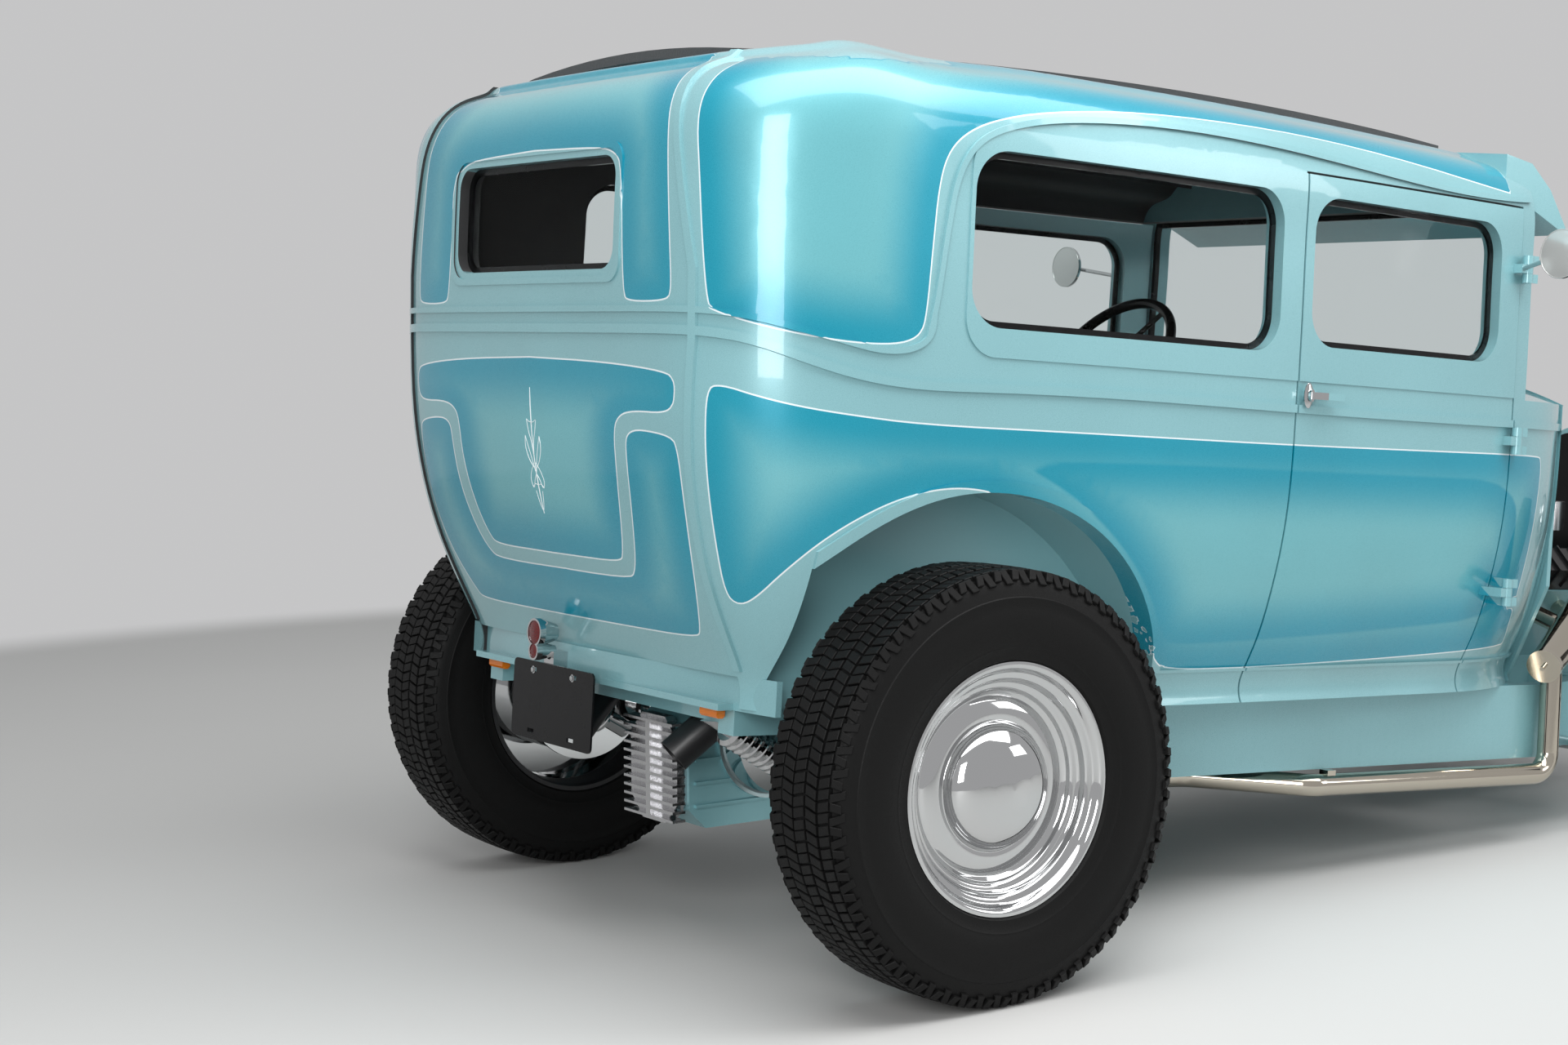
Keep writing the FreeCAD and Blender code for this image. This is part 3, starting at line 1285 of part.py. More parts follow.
def engine_block():
    body = new_body("engine_block")
    half = [(mm.pan_half, mm.pan_bottom), (mm.block_half, mm.crank_height - mm.wall),
            (mm.block_half, mm.crank_height + mm.wall), (mm.deck_low_out, mm.deck_low_height),
            (mm.deck_high_out, mm.deck_high_height), (mm.valley_half, mm.valley_height)]
    points = half + [(-y, z) for y, z in half[::-1]]
    pad(body, outline(body, "YZ_Plane", points, mm.engine_rear), mm.engine_front - mm.engine_rear)
    middle = (mm.engine_rear + mm.engine_front) / 2
    rear, front = (middle - mm.overrun, middle + mm.overrun)
    corners = [(rear, -(rail_out(rear) - mm.rail_width)), (front, -(rail_out(front) - mm.rail_width)),
               (front, rail_out(front) - mm.rail_width), (rear, rail_out(rear) - mm.rail_width)]
    pad(body, outline(body, "XY_Plane", corners, mm.body_bottom - mm.engine_mount_height),
        mm.engine_mount_height)
    pulley = circle(body, "YZ_Plane", (0, mm.crank_height), mm.block_half / 2, mm.engine_front)
    pad(body, pulley, mm.wall)
    pump = circle(body, "YZ_Plane", (0, mm.valley_height), mm.block_half / 3, mm.engine_front)
    pad(body, pump, mm.wall)
    return body


def valve_cover():
    """A cover square to the sloping deck, with ribs across it."""
    body = new_body("valve_cover")
    low = Vector(0, mm.deck_low_out, mm.deck_low_height)
    high = Vector(0, mm.deck_high_out, mm.deck_high_height)
    deck = (high - low).normalize()
    middle = (low + high) / 2
    up = Vector(0, deck.z, -deck.y)
    run = mm.engine_front - mm.engine_rear - 2 * mm.cover_margin
    half = (high - low).Length / 2 - mm.bar_radius
    for depth, start, rise, grow in ((run, mm.engine_rear + mm.cover_margin, mm.cover_height, 0),
                                     (mm.fin_width, mm.engine_rear + mm.cover_margin * 2,
                                      mm.cover_height + mm.web_rise, mm.web_rise / 2)):
        corners = [middle - deck * (half + grow), middle + deck * (half + grow),
                   middle + deck * (half * RIB_TOP_SHARE + grow) + up * rise,
                   middle - deck * (half * RIB_TOP_SHARE + grow) + up * rise]
        if grow:
            corners[:2] = [corner + up * mm.skin for corner in corners[:2]]
        made = pad(body, outline(body, "YZ_Plane", [(corner.y, corner.z) for corner in corners], start),
                   depth)
    repeated(body, made, (made.Profile[0], ["N_Axis"]), run - mm.cover_margin * 2 - mm.fin_width,
             DECK_RIB_COUNT)
    return body


def intake():
    body = new_body("intake")
    middle = (mm.engine_rear + mm.engine_front) / 2
    run = (mm.engine_front - mm.engine_rear) / 2 - mm.cover_margin
    pad(body, outline(body, "XY_Plane", oblong((middle - run, middle + run),
                                               (-mm.valley_half, mm.valley_half)),
                      mm.valley_height), mm.intake_height)
    base = mm.valley_height + mm.intake_height
    pad(body, circle(body, "XY_Plane", (middle, 0), mm.carburettor_radius, base),
        mm.cleaner_bottom - base)
    pad(body, circle(body, "XY_Plane", (middle, 0), mm.cleaner_radius, mm.cleaner_bottom),
        mm.cleaner_height)
    pad(body, circle(body, "XY_Plane", (middle, 0), mm.cleaner_radius - mm.overrun,
                     mm.cleaner_bottom + mm.cleaner_height), mm.skin)
    return body


RIB_TOP_SHARE = 0.82
block_made = add_made("engine_block", engine_block(), RAKED)
cover_left = valve_cover()
add_made("engine_top", group("engine_top", [intake(), cover_left,
                                            opposite("valve_cover_opposite", cover_left)]), RAKED)


# Rear axle: turned about its own line, with the quick-change case across its middle
BELL_SHARES = [(0.0, 1.0), (0.22, 0.93), (0.48, 0.74), (0.74, 0.55), (1.0, 0.44)]


def rear_axle():
    body = new_body("rear_axle")
    half_run = mm.rear_half_track - mm.rear_tyre_width / 2
    run = mm.bell_end - mm.bell_start
    flange = mm.bell_wide_radius + mm.web_rise
    side = [(mm.bell_start - mm.plate_thickness, flange), (mm.bell_start + mm.plate_thickness, flange)]
    side += [(mm.bell_start + mm.plate_thickness + out * run, rise * mm.bell_wide_radius)
             for out, rise in BELL_SHARES]
    collar = mm.bell_end + mm.plate_thickness
    side += [(collar, mm.bell_small_radius + mm.web_rise),
             (collar + mm.skin, mm.bell_small_radius + mm.web_rise),
             (collar + mm.skin, mm.axle_tube_radius),
             (half_run - mm.plate_thickness, mm.axle_tube_radius),
             (half_run - mm.plate_thickness, mm.plate_radius), (half_run, mm.plate_radius),
             (half_run, mm.spindle_radius),
             (half_run + mm.rear_tyre_width / 2 + mm.spindle_reach, mm.spindle_radius)]
    end = side[-1][0]
    profile = [(-end, 0)] + [(-y, r) for y, r in side[::-1]] + side + [(end, 0)]
    turned(body, outline(body, "YZ_Plane", profile, 0, mm.rear_tyre_radius), "H_Axis")
    cut = mm.case_half_height / 3
    low, high = (mm.case_centre - mm.case_half_height, mm.case_centre + mm.case_half_height)
    case = [(mm.case_rear, low + cut), (mm.case_rear + cut, low), (mm.case_front - cut, low),
            (mm.case_front, low + cut), (mm.case_front, high - cut), (mm.case_front - cut, high),
            (mm.case_rear + cut, high), (mm.case_rear, high - cut)]
    pad(body, outline(body, "XZ_Plane", case), 2 * mm.case_half_width, True)
    rise = mm.web_rise
    web_share = 0.6
    web = [(mm.case_rear + mm.skin, mm.case_centre - mm.web_width / 2),
           (mm.case_front, mm.case_centre - mm.web_width / 2),
           (mm.case_front, mm.case_centre + mm.web_width / 2),
           (mm.case_rear + mm.skin, mm.case_centre + mm.web_width / 2)]
    first = pad(body, outline(body, "XZ_Plane", [(x, z - mm.case_half_height * web_share)
                                                 for x, z in web]),
                2 * (mm.case_half_width + rise), True)
    repeated(body, first, (first.Profile[0], ["V_Axis"]), 2 * mm.case_half_height * web_share, 4)
    return body


axle_made = add_made("rear_axle", rear_axle(), CAR)


# Finned cover on the back of the case
COVER_FIN_COUNT = 12


def axle_cover():
    body = new_body("axle_cover")
    half = mm.case_half_width - mm.fin_margin
    tall = mm.case_half_height - mm.fin_margin
    cut = half / 2
    low, high = (mm.case_centre - tall, mm.case_centre + tall)
    plate = [(-half, low + cut), (cut - half, low), (half - cut, low), (half, low + cut),
             (half, high - cut), (half - cut, high), (cut - half, high), (-half, high - cut)]
    depth = mm.case_rear - mm.cover_rear
    pad(body, outline(body, "YZ_Plane", plate, mm.cover_rear + mm.cover_base), depth - mm.cover_base)
    first_level = mm.case_centre - tall + mm.fin_margin
    fin = outline(body, "YZ_Plane", oblong((-half * FIN_SPAN_SHARE, half * FIN_SPAN_SHARE),
                                           (first_level, first_level + mm.fin_width)),
                  mm.cover_rear)
    made = pad(body, fin, depth - mm.cover_base / 2)
    repeated(body, made, (fin, ["V_Axis"]), 2 * tall - 2 * mm.fin_margin - mm.fin_width,
             COVER_FIN_COUNT)
    spine = outline(body, "YZ_Plane", oblong((-mm.fin_margin, mm.fin_margin),
                                             (low + mm.fin_margin, high - mm.fin_margin)),
                    mm.cover_rear)
    pad(body, spine, depth)
    return body


FIN_SPAN_SHARE = 1.06
add_made("axle_cover", axle_cover(), CAR)


# Gearbox behind the bell housing, and the shaft that runs back to the axle's case
GEARBOX_SHARES = [
    # distance back from the bell as a share of the gearbox's length, radius as a share
    (0.0, 1.0), (0.42, 1.0), (0.43, 1.08), (0.46, 1.08), (0.47, 0.9), (0.62, 0.62), (0.94, 0.5),
    (0.95, 0.62), (1.0, 0.62),
]


def transmission():
    body = new_body("gearbox")
    bell_end = mm.firewall_front + mm.fit_gap
    length = bell_end - mm.gearbox_rear
    profile = [(mm.engine_rear, 0), (mm.engine_rear, mm.bell_radius),
               (mm.engine_rear - mm.skin, mm.bell_radius)]
    profile += [(bell_end - back * length, thick * mm.gearbox_radius) for back, thick in GEARBOX_SHARES]
    profile += [(mm.gearbox_rear, 0)]
    turned(body, outline(body, "XZ_Plane", profile, 0, mm.gearbox_height), "H_Axis")
    yoke = Vector(mm.gearbox_rear + mm.overrun, 0, mm.gearbox_height)
    joint = Vector(mm.case_front, 0, mm.rear_tyre_radius)
    shaft = bar_form("drive_shaft", mm.shaft_radius, joint, yoke)
    return one_piece("gearbox_and_shaft", [body, shaft])


drive = transmission()
drive.Placement = RAKED
add_made("transmission", less("transmission", drive, axle_made), HERE)


# Exhaust: four ports into a cone, a pipe along the rail, a muffler and a bored tip
PORT_SHARES = (0.42, 0.22, 0.04, 0.0)
DOWN_PIPE_SHARE = 0.86


def exhaust():
    cone_start = Vector(mm.cone_top_ahead, mm.cone_top_out, mm.cone_top_height)
    cone_end = Vector(mm.cone_end_ahead, mm.cone_end_out, mm.cone_end_height)
    run = cone_end - cone_start
    cone = Part.makeCone(mm.cone_big_radius, mm.cone_small_radius, run.Length, cone_start, run)
    cap = Part.makeCylinder(mm.cap_radius, mm.cap_thickness, cone_end, run)
    nut = Part.makeCylinder(mm.pin_radius, mm.cap_thickness * 2, cone_end, run)
    parts = [cone, cap, nut]
    spacing = (mm.engine_front - mm.engine_rear) / 4
    for port in range(4):
        place = mm.engine_rear + spacing * (port + 0.5)
        start = Vector(place, mm.deck_low_out - mm.port_radius,
                       mm.deck_low_height - mm.port_radius * 2)
        end = cone_start + run * PORT_SHARES[port]
        parts.append(rod(start, end, mm.port_radius))
        parts.append(Part.makeSphere(mm.port_radius, end))
    down = cone_start + run * DOWN_PIPE_SHARE
    low = mm.pipe_low
    high = mm.muffler_height
    climb = mm.middle_crossmember_ahead - mm.crossmember_width / 2
    path = [down, Vector(down.x, mm.pipe_out + mm.pin_radius, low),
            Vector(mm.pipe_inboard, mm.pipe_out, low), Vector(mm.pipe_crossing, mm.pipe_in, low),
            Vector(climb, mm.pipe_in, low),
            Vector(mm.muffler_front + mm.pipe_radius, mm.pipe_in, high),
            Vector(mm.muffler_rear - mm.pipe_radius, mm.pipe_in, high)]
    parts.append(bent_tube(path, mm.pipe_radius, mm.pipe_radius * 2))
    parts.append(rod(Vector(mm.muffler_rear, mm.pipe_in, high),
                     Vector(mm.muffler_front, mm.pipe_in, high), mm.muffler_radius))
    parts.append(block((mm.hanger_ahead - mm.skin, mm.hanger_ahead + mm.skin),
                       (mm.pipe_out - mm.skin, mm.pipe_out + mm.skin), (low, mm.rail_bottom)))
    inner = mm.pipe_in - mm.pipe_radius
    tail = [Vector(mm.muffler_rear + mm.pipe_radius, mm.pipe_in, high),
            Vector(mm.muffler_rear - mm.pipe_radius, mm.pipe_in, high),
            Vector(mm.pipe_bend * 2, inner, mm.pipe_over_axle),
            Vector(-mm.pipe_bend * 2, inner, mm.pipe_over_axle),
            Vector(-mm.pipe_bend * 4, mm.spring_out - mm.tip_length,
                   mm.kickup_bottom - mm.tip_length / 2)]
    parts.append(bent_tube(tail, mm.pipe_radius, mm.pipe_radius * 2))
    last = tail[-1]
    back = (tail[-2] - last).normalize()
    parts.append(rod(last, last + back * mm.tip_length, mm.tip_radius))
    bore = rod(last - back * mm.overrun, last + back * mm.tip_length / 2,
               mm.tip_radius - mm.bar_radius)
    return fused(parts).cut(bore)


exhaust_left = exhaust().cut(own_shape(block_made))
add_mirrored("exhaust_right", add_node("exhaust_left", exhaust_left, RAKED))


# Coil-over units and ladder bars
COIL_SHARES = (0.25, 0.9)
COIL_TURN_COUNT = 9


def coil(low, high):
    """The spring's outer shape: a round bar with a groove between its turns."""
    run = high - low
    start = low + run * COIL_SHARES[0]
    length = run.Length * (COIL_SHARES[1] - COIL_SHARES[0])
    pitch = length / COIL_TURN_COUNT
    points = [Vector(0, 0, 0)]
    for index in range(COIL_TURN_COUNT):
        level = index * pitch
        points += [Vector(mm.spring_radius - mm.bar_radius * 2, 0, level),
                   Vector(mm.spring_radius, 0, level + pitch / 3),
                   Vector(mm.spring_radius, 0, level + pitch * 2 / 3)]
    points += [Vector(mm.spring_radius - mm.bar_radius * 2, 0, length), Vector(0, 0, length)]
    solid = Part.Face(Part.makePolygon(points + points[:1]))
    solid = solid.revolve(Vector(0, 0, 0), Vector(0, 0, 1), 360)
    return solid.transformed(Placement(start, Rotation(Vector(0, 0, 1), run)).toMatrix(), True)


def rear_suspension():
    place = RAKED.inverse().multiply(CAR)
    low = place.multVec(Vector(-mm.axle_tube_radius * 2, mm.spring_out, mm.spring_low))
    seat = mm.body_bottom - mm.rear_crossmember_height
    high = Vector(-mm.rear_crossmember_behind, mm.spring_out, seat)
    unit = rod(low, high + (high - low).normalize() * mm.spring_radius, mm.spring_radius / 2)
    unit = unit.common(block((-far, far), (0, wide), (0, seat)))
    axle = place.multVec(Vector(0, mm.ladder_out, mm.rear_tyre_radius))
    bracket = Part.makeCylinder(mm.ladder_spread, mm.plate_thickness, axle, Vector(0, 1, 0))
    stop = mm.middle_crossmember_ahead - mm.crossmember_width / 2
    tip = Vector(stop + mm.ladder_radius, mm.ladder_out - mm.ladder_radius,
                 mm.rail_bottom + mm.middle_crossmember_height / 2)
    offset = Vector(0, mm.plate_thickness / 2, mm.ladder_spread - mm.ladder_radius)
    drop = Vector(0, mm.plate_thickness / 2, mm.ladder_radius - mm.ladder_spread)
    bars = [rod(axle + offset, tip, mm.ladder_radius), rod(axle + drop, tip, mm.ladder_radius)]
    bars = [bar.common(block((-far, stop), (0, wide), (0, far))) for bar in bars]
    link = rod(axle + Vector(0, mm.spring_out - mm.ladder_out, drop.z), axle + drop, mm.ladder_radius)
    return fused([unit, coil(low, high), bracket, link] + bars)


axle_shape = own_shape(axle_made)
axle_shape.Placement = RAKED.inverse().multiply(CAR)
side = rear_suspension().cut(axle_shape)
add_node("rear_suspension", Part.makeCompound([side, mirrored(side)]), RAKED)


# Tyres and wheels: profiles run from the inner side to the outer
TYRE_SHARES = [(-0.72, 0.0), (-0.93, 0.18), (-0.98, 0.34), (-1.0, 0.36), (-1.0, 0.45),
               (-0.95, 0.72), (-0.86, 0.9)]
GROOVE_SHARES = (-0.66, -0.24, 0.24, 0.66)
CAP_SHARES = [(0.86, 0.0), (0.82, 0.3), (0.66, 0.62), (0.38, 0.87), (0.1, 0.99), (0.0, 1.04)]
FACE_SHARES = [(0.62, 0.56), (0.50, 0.63), (0.50, 0.73), (0.60, 0.79), (0.70, 0.80),
               (0.72, 0.845), (0.86, 0.885), (0.96, 0.90), (0.98, 0.945), (1.12, 0.98)]
HUB_FACE_SHARE = 0.1
DISC_SHARE = 0.2
BARREL_SHARE = 0.9
CAP_SEAT_SHARE = 0.68
LIP_INNER_SHARE = 1.12
LIP_OUTER_SHARE = 1.2


def tyre(label, radius, width, tread, bead):
    half = width / 2
    inner = [(share * half, bead + rise * (radius - bead)) for share, rise in TYRE_SHARES]
    crown = [(-tread / 2, radius - mm.shoulder_drop)]
    for share in GROOVE_SHARES:
        middle = share * tread / 2
        high = radius - share ** 2 * mm.shoulder_drop
        rear, front = (middle - mm.groove_width / 2, middle + mm.groove_width / 2)
        crown += [(rear, high), (rear, high - mm.groove_depth), (front, high - mm.groove_depth),
                  (front, high)]
    crown += [(tread / 2, radius - mm.shoulder_drop)]
    crown.insert(len(crown) // 2, (0, radius))
    outer = [(-out, rise) for out, rise in inner[::-1]]
    body = new_body(label)
    turned(body, outline(body, "YZ_Plane", inner + crown + outer), "H_Axis")
    return body


def wheel(label, bead, tyre_width):
    """Rim, stepped face, plain domed cap, hub and brake drum in one turned piece."""
    half = tyre_width * TYRE_SHARES[0][0] * -0.5
    snug = bead - mm.fit_gap
    lip = snug + mm.rim_lip
    bore = mm.spindle_radius + mm.pin_gap
    profile = [(out * mm.hub_cap_depth + half * CAP_SEAT_SHARE, rise * mm.hub_cap_radius)
               for out, rise in CAP_SHARES]
    profile += [(half * out, snug * rise) for out, rise in FACE_SHARES]
    profile += [(half * LIP_OUTER_SHARE, lip), (half * LIP_INNER_SHARE, lip), (half, snug),
                (-half, snug), (-half * LIP_INNER_SHARE, lip), (-half * LIP_OUTER_SHARE, lip),
                (-half * LIP_OUTER_SHARE, snug), (-half, snug - mm.rim_wall),
                (half * DISC_SHARE, snug - mm.rim_wall * 2), (half * DISC_SHARE, mm.drum_radius),
                (-half * BARREL_SHARE, mm.drum_radius),
                (-half * BARREL_SHARE, mm.wheel_bore + mm.wall),
                (half * HUB_FACE_SHARE, mm.wheel_bore + mm.wall), (half * HUB_FACE_SHARE, bore),
                (mm.spindle_reach + mm.fit_gap, bore), (mm.spindle_reach + mm.fit_gap, 0)]
    body = new_body(label)
    turned(body, outline(body, "YZ_Plane", profile), "H_Axis")
    return body


def place_wheels(stem, radius, width, tread, bead, ahead, half_track):
    place = CAR.multiply(Placement(Vector(ahead, half_track, radius), Rotation()))
    add_both(stem + "_tyre", tyre(stem + "_tyre_left", radius, width, tread, bead), place)
    add_both(stem + "_wheel", wheel(stem + "_wheel_left", bead, width), place)


place_wheels("rear", mm.rear_tyre_radius, mm.rear_tyre_width, mm.rear_tread_width,
             mm.rear_bead_radius, 0, mm.rear_half_track)
place_wheels("front", mm.front_tyre_radius, mm.front_tyre_width, mm.front_tread_width,
             mm.front_bead_radius, mm.wheelbase, mm.front_half_track)


# Front axle: a dropped I-beam drawn in the front view, with its kingpin bosses
def front_axle():
    body = new_body("front_axle")
    high = mm.front_tyre_radius
    low = high - mm.axle_drop
    half = mm.beam_height / 2
    boss_in = mm.kingpin_half - mm.kingpin_boss / 2
    over = [(boss_in, high + half), (boss_in - half, high + half), (boss_in - mm.axle_drop, low + half)]
    under = [(boss_in, high - half), (boss_in - half / 2, high - half),
             (boss_in - mm.axle_drop + half, low - half)]
    side = over + [(-y, z) for y, z in over[::-1]]
    base = [(-y, z) for y, z in under] + under[::-1]
    start = mm.wheelbase - mm.beam_depth / 2
    pad(body, outline(body, "YZ_Plane", side + base, start), mm.beam_depth)
    groove = (mm.beam_depth - mm.beam_web) / 2
    flange = half - mm.beam_web / 2
    reach = boss_in - mm.axle_drop
    window = oblong((-reach, reach), (low - flange, low + flange))
    pocket(body, outline(body, "YZ_Plane", window, start), groove, True)
    pocket(body, outline(body, "YZ_Plane", window, start + mm.beam_depth), groove)
    for out in (mm.kingpin_half, -mm.kingpin_half):
        foot = high - mm.kingpin_height / 2
        pad(body, circle(body, "XY_Plane", (mm.wheelbase, out), mm.kingpin_boss, foot),
            mm.kingpin_height)
    for out in (mm.kingpin_half, -mm.kingpin_half):
        foot = high - mm.kingpin_height / 2
        bore = circle(body, "XY_Plane", (mm.wheelbase, out), mm.kingpin_radius + mm.pin_gap, foot)
        pocket(body, bore, mm.kingpin_height, True)
    for out in (mm.leaf_half, -mm.leaf_half):
        pad(body, circle(body, "XY_Plane", (mm.wheelbase, out), mm.kingpin_radius, low + half),
            mm.leaf_width)
    return body


axle_front_made = add_made("front_axle", front_axle(), CAR)


# Transverse spring and the two hairpin rods
HAIRPIN_EYE_SHARE = 1.6


def front_suspension():
    high = mm.front_tyre_radius
    low = high - mm.axle_drop
    perch = low + mm.beam_height / 2 + mm.leaf_width / 2
    start = mm.wheelbase - mm.leaf_width / 2
    leaves = []
    for leaf in range(4):
        reach = mm.leaf_half * (1 - leaf / 5)
        top = perch + mm.leaf_camber - leaf * mm.leaf_thickness / 4
        edge = top - mm.leaf_camber * (1 - leaf / 5) ** 2
        over = Part.Arc(Vector(start, -reach, edge), Vector(start, 0, top),
                        Vector(start, reach, edge)).toShape()
        fall = Vector(0, 0, -mm.leaf_thickness / 4)
        ends = [Part.makeLine(Vector(start, turn * reach, edge),
                              Vector(start, turn * reach, edge) + fall) for turn in (1, -1)]
        face = Part.Face(Part.Wire(Part.__sortEdges__([over, over.translated(fall)] + ends)))
        leaves.append(face.extrude(Vector(mm.leaf_width, 0, 0)))
    pieces = [fused(leaves)]
    eye = mm.hairpin_radius * HAIRPIN_EYE_SHARE
    for turn in (1, -1):
        front = Vector(mm.wheelbase, turn * mm.hairpin_out, low)
        out = rail_out(mm.hairpin_rear) + mm.hairpin_bush + mm.running_gap
        rear = Vector(mm.hairpin_rear, turn * out, mm.hairpin_rear_height)
        bars = [Part.makeCylinder(eye, mm.hairpin_bush * 2, rear - Vector(0, mm.hairpin_bush, 0),
                                  Vector(0, 1, 0))]
        for lift in (mm.hairpin_spread, -mm.hairpin_spread):
            bars.append(rod(front + Vector(0, 0, lift), rear, mm.hairpin_radius))
        depth = mm.hairpin_spread + mm.hairpin_radius
        plate = block((mm.wheelbase - mm.beam_depth / 2 - mm.plate_thickness,
                       mm.wheelbase + mm.beam_depth / 2),
                      (front.y - mm.plate_thickness, front.y + mm.plate_thickness),
                      (low - depth, low + depth))
        pieces.append(fused(bars + [plate]))
    return pieces


front_beam = own_shape(axle_front_made)
add_node("front_suspension", Part.makeCompound([piece.cut(front_beam)
                                                for piece in front_suspension()]), CAR)


# Left knuckle: ears above and below the boss, spindle and steering arm
def knuckle():
    high = mm.front_tyre_radius
    half = mm.kingpin_height / 2
    ear = mm.kingpin_boss
    thick = mm.beam_web
    ahead = mm.wheelbase
    out = mm.kingpin_half
    wall = out + ear + mm.running_gap
    forms = []
    for name, level in (("upper", high + half + mm.fit_gap), ("lower", high - half - mm.fit_gap - thick)):
        forms.append(round_form(name + "_ear", ear, thick, (ahead, out, level), UPRIGHT))
        forms.append(box_form(name + "_arm", (ahead - ear, ahead + ear), (out, wall + thick),
                              (level, level + thick)))
    forms.append(box_form("knuckle_wall", (ahead - ear, ahead + ear), (wall, wall + thick),
                          (high - half - thick, high + half + thick)))
    forms.append(round_form("kingpin", mm.kingpin_radius, mm.kingpin_height + 2 * thick,
                            (ahead, out, high - half - thick), UPRIGHT))
    forms.append(round_form("spindle", mm.spindle_radius,
                            mm.front_half_track - wall + mm.spindle_reach, (ahead, wall, high), OUTWARD))
    level = high - half - mm.fit_gap - thick
    rear = ahead - mm.steering_arm
    forms.append(box_form("steering_arm", (rear, ahead), (out - thick, out + thick),
                          (level, level + thick)))
    forms.append(round_form("arm_eye", thick, thick, (rear, out, level), UPRIGHT))
    stud = high - mm.tie_rod_below - mm.wall
    forms.append(round_form("arm_stud", mm.pin_radius, level - stud, (rear, out, stud), UPRIGHT))
    return one_piece("knuckle_left", forms)


add_both("knuckle", knuckle(), CAR)


EYE_SHARE = 1.5
EYE_HEIGHT_SHARE = 2.4


def tie_rod():
    level = mm.front_tyre_radius - mm.tie_rod_below - mm.beam_height / 2
    ahead = mm.wheelbase - mm.steering_arm
    tall = mm.tie_rod_radius * EYE_HEIGHT_SHARE
    forms = [round_form("tie_bar", mm.tie_rod_radius, 2 * mm.kingpin_half,
                        (ahead, -mm.kingpin_half, level), OUTWARD)]
    bores = []
    for name, out in (("left", mm.kingpin_half), ("right", -mm.kingpin_half)):
        foot = (ahead, out, level - tall / 2)
        forms.append(round_form(name + "_eye", mm.tie_rod_radius * EYE_SHARE, tall, foot, UPRIGHT))
        bores.append(round_form(name + "_bore", mm.pin_radius + mm.pin_gap, tall, foot, UPRIGHT))
    return less("tie_rod", one_piece("tie_whole", forms), group("tie_bores", bores))


add_made("tie_rod", tie_rod(), CAR)


# Grille shell, its bars, the radiator and the headlamps
shell_bottom = mm.nose_bottom + mm.front_crossmember_drop


def shell_form(name, shrink, x_range):
    """The shell's outline, round at its two upper corners."""
    body = new_body(name)
    half = mm.shell_half - shrink
    low, high = (shell_bottom + shrink, mm.shell_top - shrink)
    crown = [(-half, low), (half, low), (half, high - mm.wall), (half / 2, high - mm.skin),
             (0, high), (-half / 2, high - mm.skin), (-half, high - mm.wall)]
    pad(body, outline(body, "YZ_Plane", crown, x_range[0]), x_range[1] - x_range[0])
    rounded(body, mm.shell_radius - shrink / 2,
            lambda edge: abs(edge.CenterOfMass.z - (high - mm.wall)) < mm.skin / 4
            and abs(edge.tangentAt(edge.FirstParameter).x) > 0.99)
    return body


shell_room = shell_form("shell_room", mm.shell_wall,
                        (mm.shell_rear - mm.overrun, mm.shell_front + mm.overrun))
shell_block = shell_form("shell_block", 0, (mm.shell_rear, mm.shell_front))
add_made("grille_shell", less("grille_shell", shell_block, shell_room), RAKED)

bar_plane = (mm.shell_rear + mm.shell_front) / 2
bar_room = mm.shell_wall + mm.fit_gap
frame_form = shell_form("bar_frame", bar_room, (bar_plane - mm.bar_radius, bar_plane + mm.bar_radius))
frame_hole = shell_form("bar_frame_hole", bar_room + mm.bar_radius * 2,
                        (bar_plane - mm.overrun, bar_plane + mm.overrun))
bar_count = 2 * int((mm.shell_half - bar_room) / mm.bar_pitch) + 1
bar_row = new_body("grille_bars")
first_out = -(bar_count - 1) / 2 * mm.bar_pitch
first_bar = pad(bar_row, outline(bar_row, "YZ_Plane",
                                 oblong((first_out - mm.bar_radius / 2, first_out + mm.bar_radius / 2),
                                        (shell_bottom, mm.shell_top)),
                                 bar_plane - mm.bar_radius), 2 * mm.bar_radius)
repeated(bar_row, first_bar, (first_bar.Profile[0], ["H_Axis"]), -2 * first_out, bar_count)
add_made("grille_insert",
         one_piece("grille_insert", [less("bar_ring", frame_form, frame_hole),
                                     both("bars_in_frame", bar_row, frame_form)]), RAKED)
add_made("radiator", shell_form("radiator", mm.shell_wall,
                                (mm.shell_rear - mm.radiator_thickness, mm.shell_rear)), RAKED)

BOWL_SHARES = [(-1.0, 0.0), (-0.98, 0.2), (-0.88, 0.48), (-0.68, 0.73), (-0.38, 0.92), (0.0, 1.0)]


def headlamp():
    body = new_body("lamp_bowl")
    profile = [(mm.lamp_ahead + back * mm.lamp_radius, out * mm.lamp_radius)
               for back, out in BOWL_SHARES]
    rim_front = mm.lamp_ahead + mm.wall / 2
    proud = mm.lamp_radius + mm.moulding_rise
    profile += [(mm.lamp_ahead, proud), (rim_front, proud), (rim_front, mm.lamp_radius),
                (rim_front + mm.skin, mm.lamp_radius / 2), (rim_front + mm.skin + mm.fit_gap, 0)]
    turned(body, outline(body, "XZ_Plane", profile, -mm.lamp_out, mm.lamp_height), "H_Axis")
    foot = mm.nose_top - mm.wall
    post = round_form("lamp_post", mm.post_radius, mm.lamp_height - foot,
                      (mm.lamp_ahead, mm.lamp_out, foot), UPRIGHT)
    return one_piece("lamp_whole", [body, post])


lamp = headlamp()
lamp.Placement = RAKED
lamp = less("lamp_left", lamp, rail_body)
add_made("headlamps", group("headlamps", [lamp, opposite("lamp_right", lamp)]), HERE)


# Tail lamp with its two lenses in one figure-eight face, on its bracket
LAMP_BODY_SHARES = (1.0, 0.62)


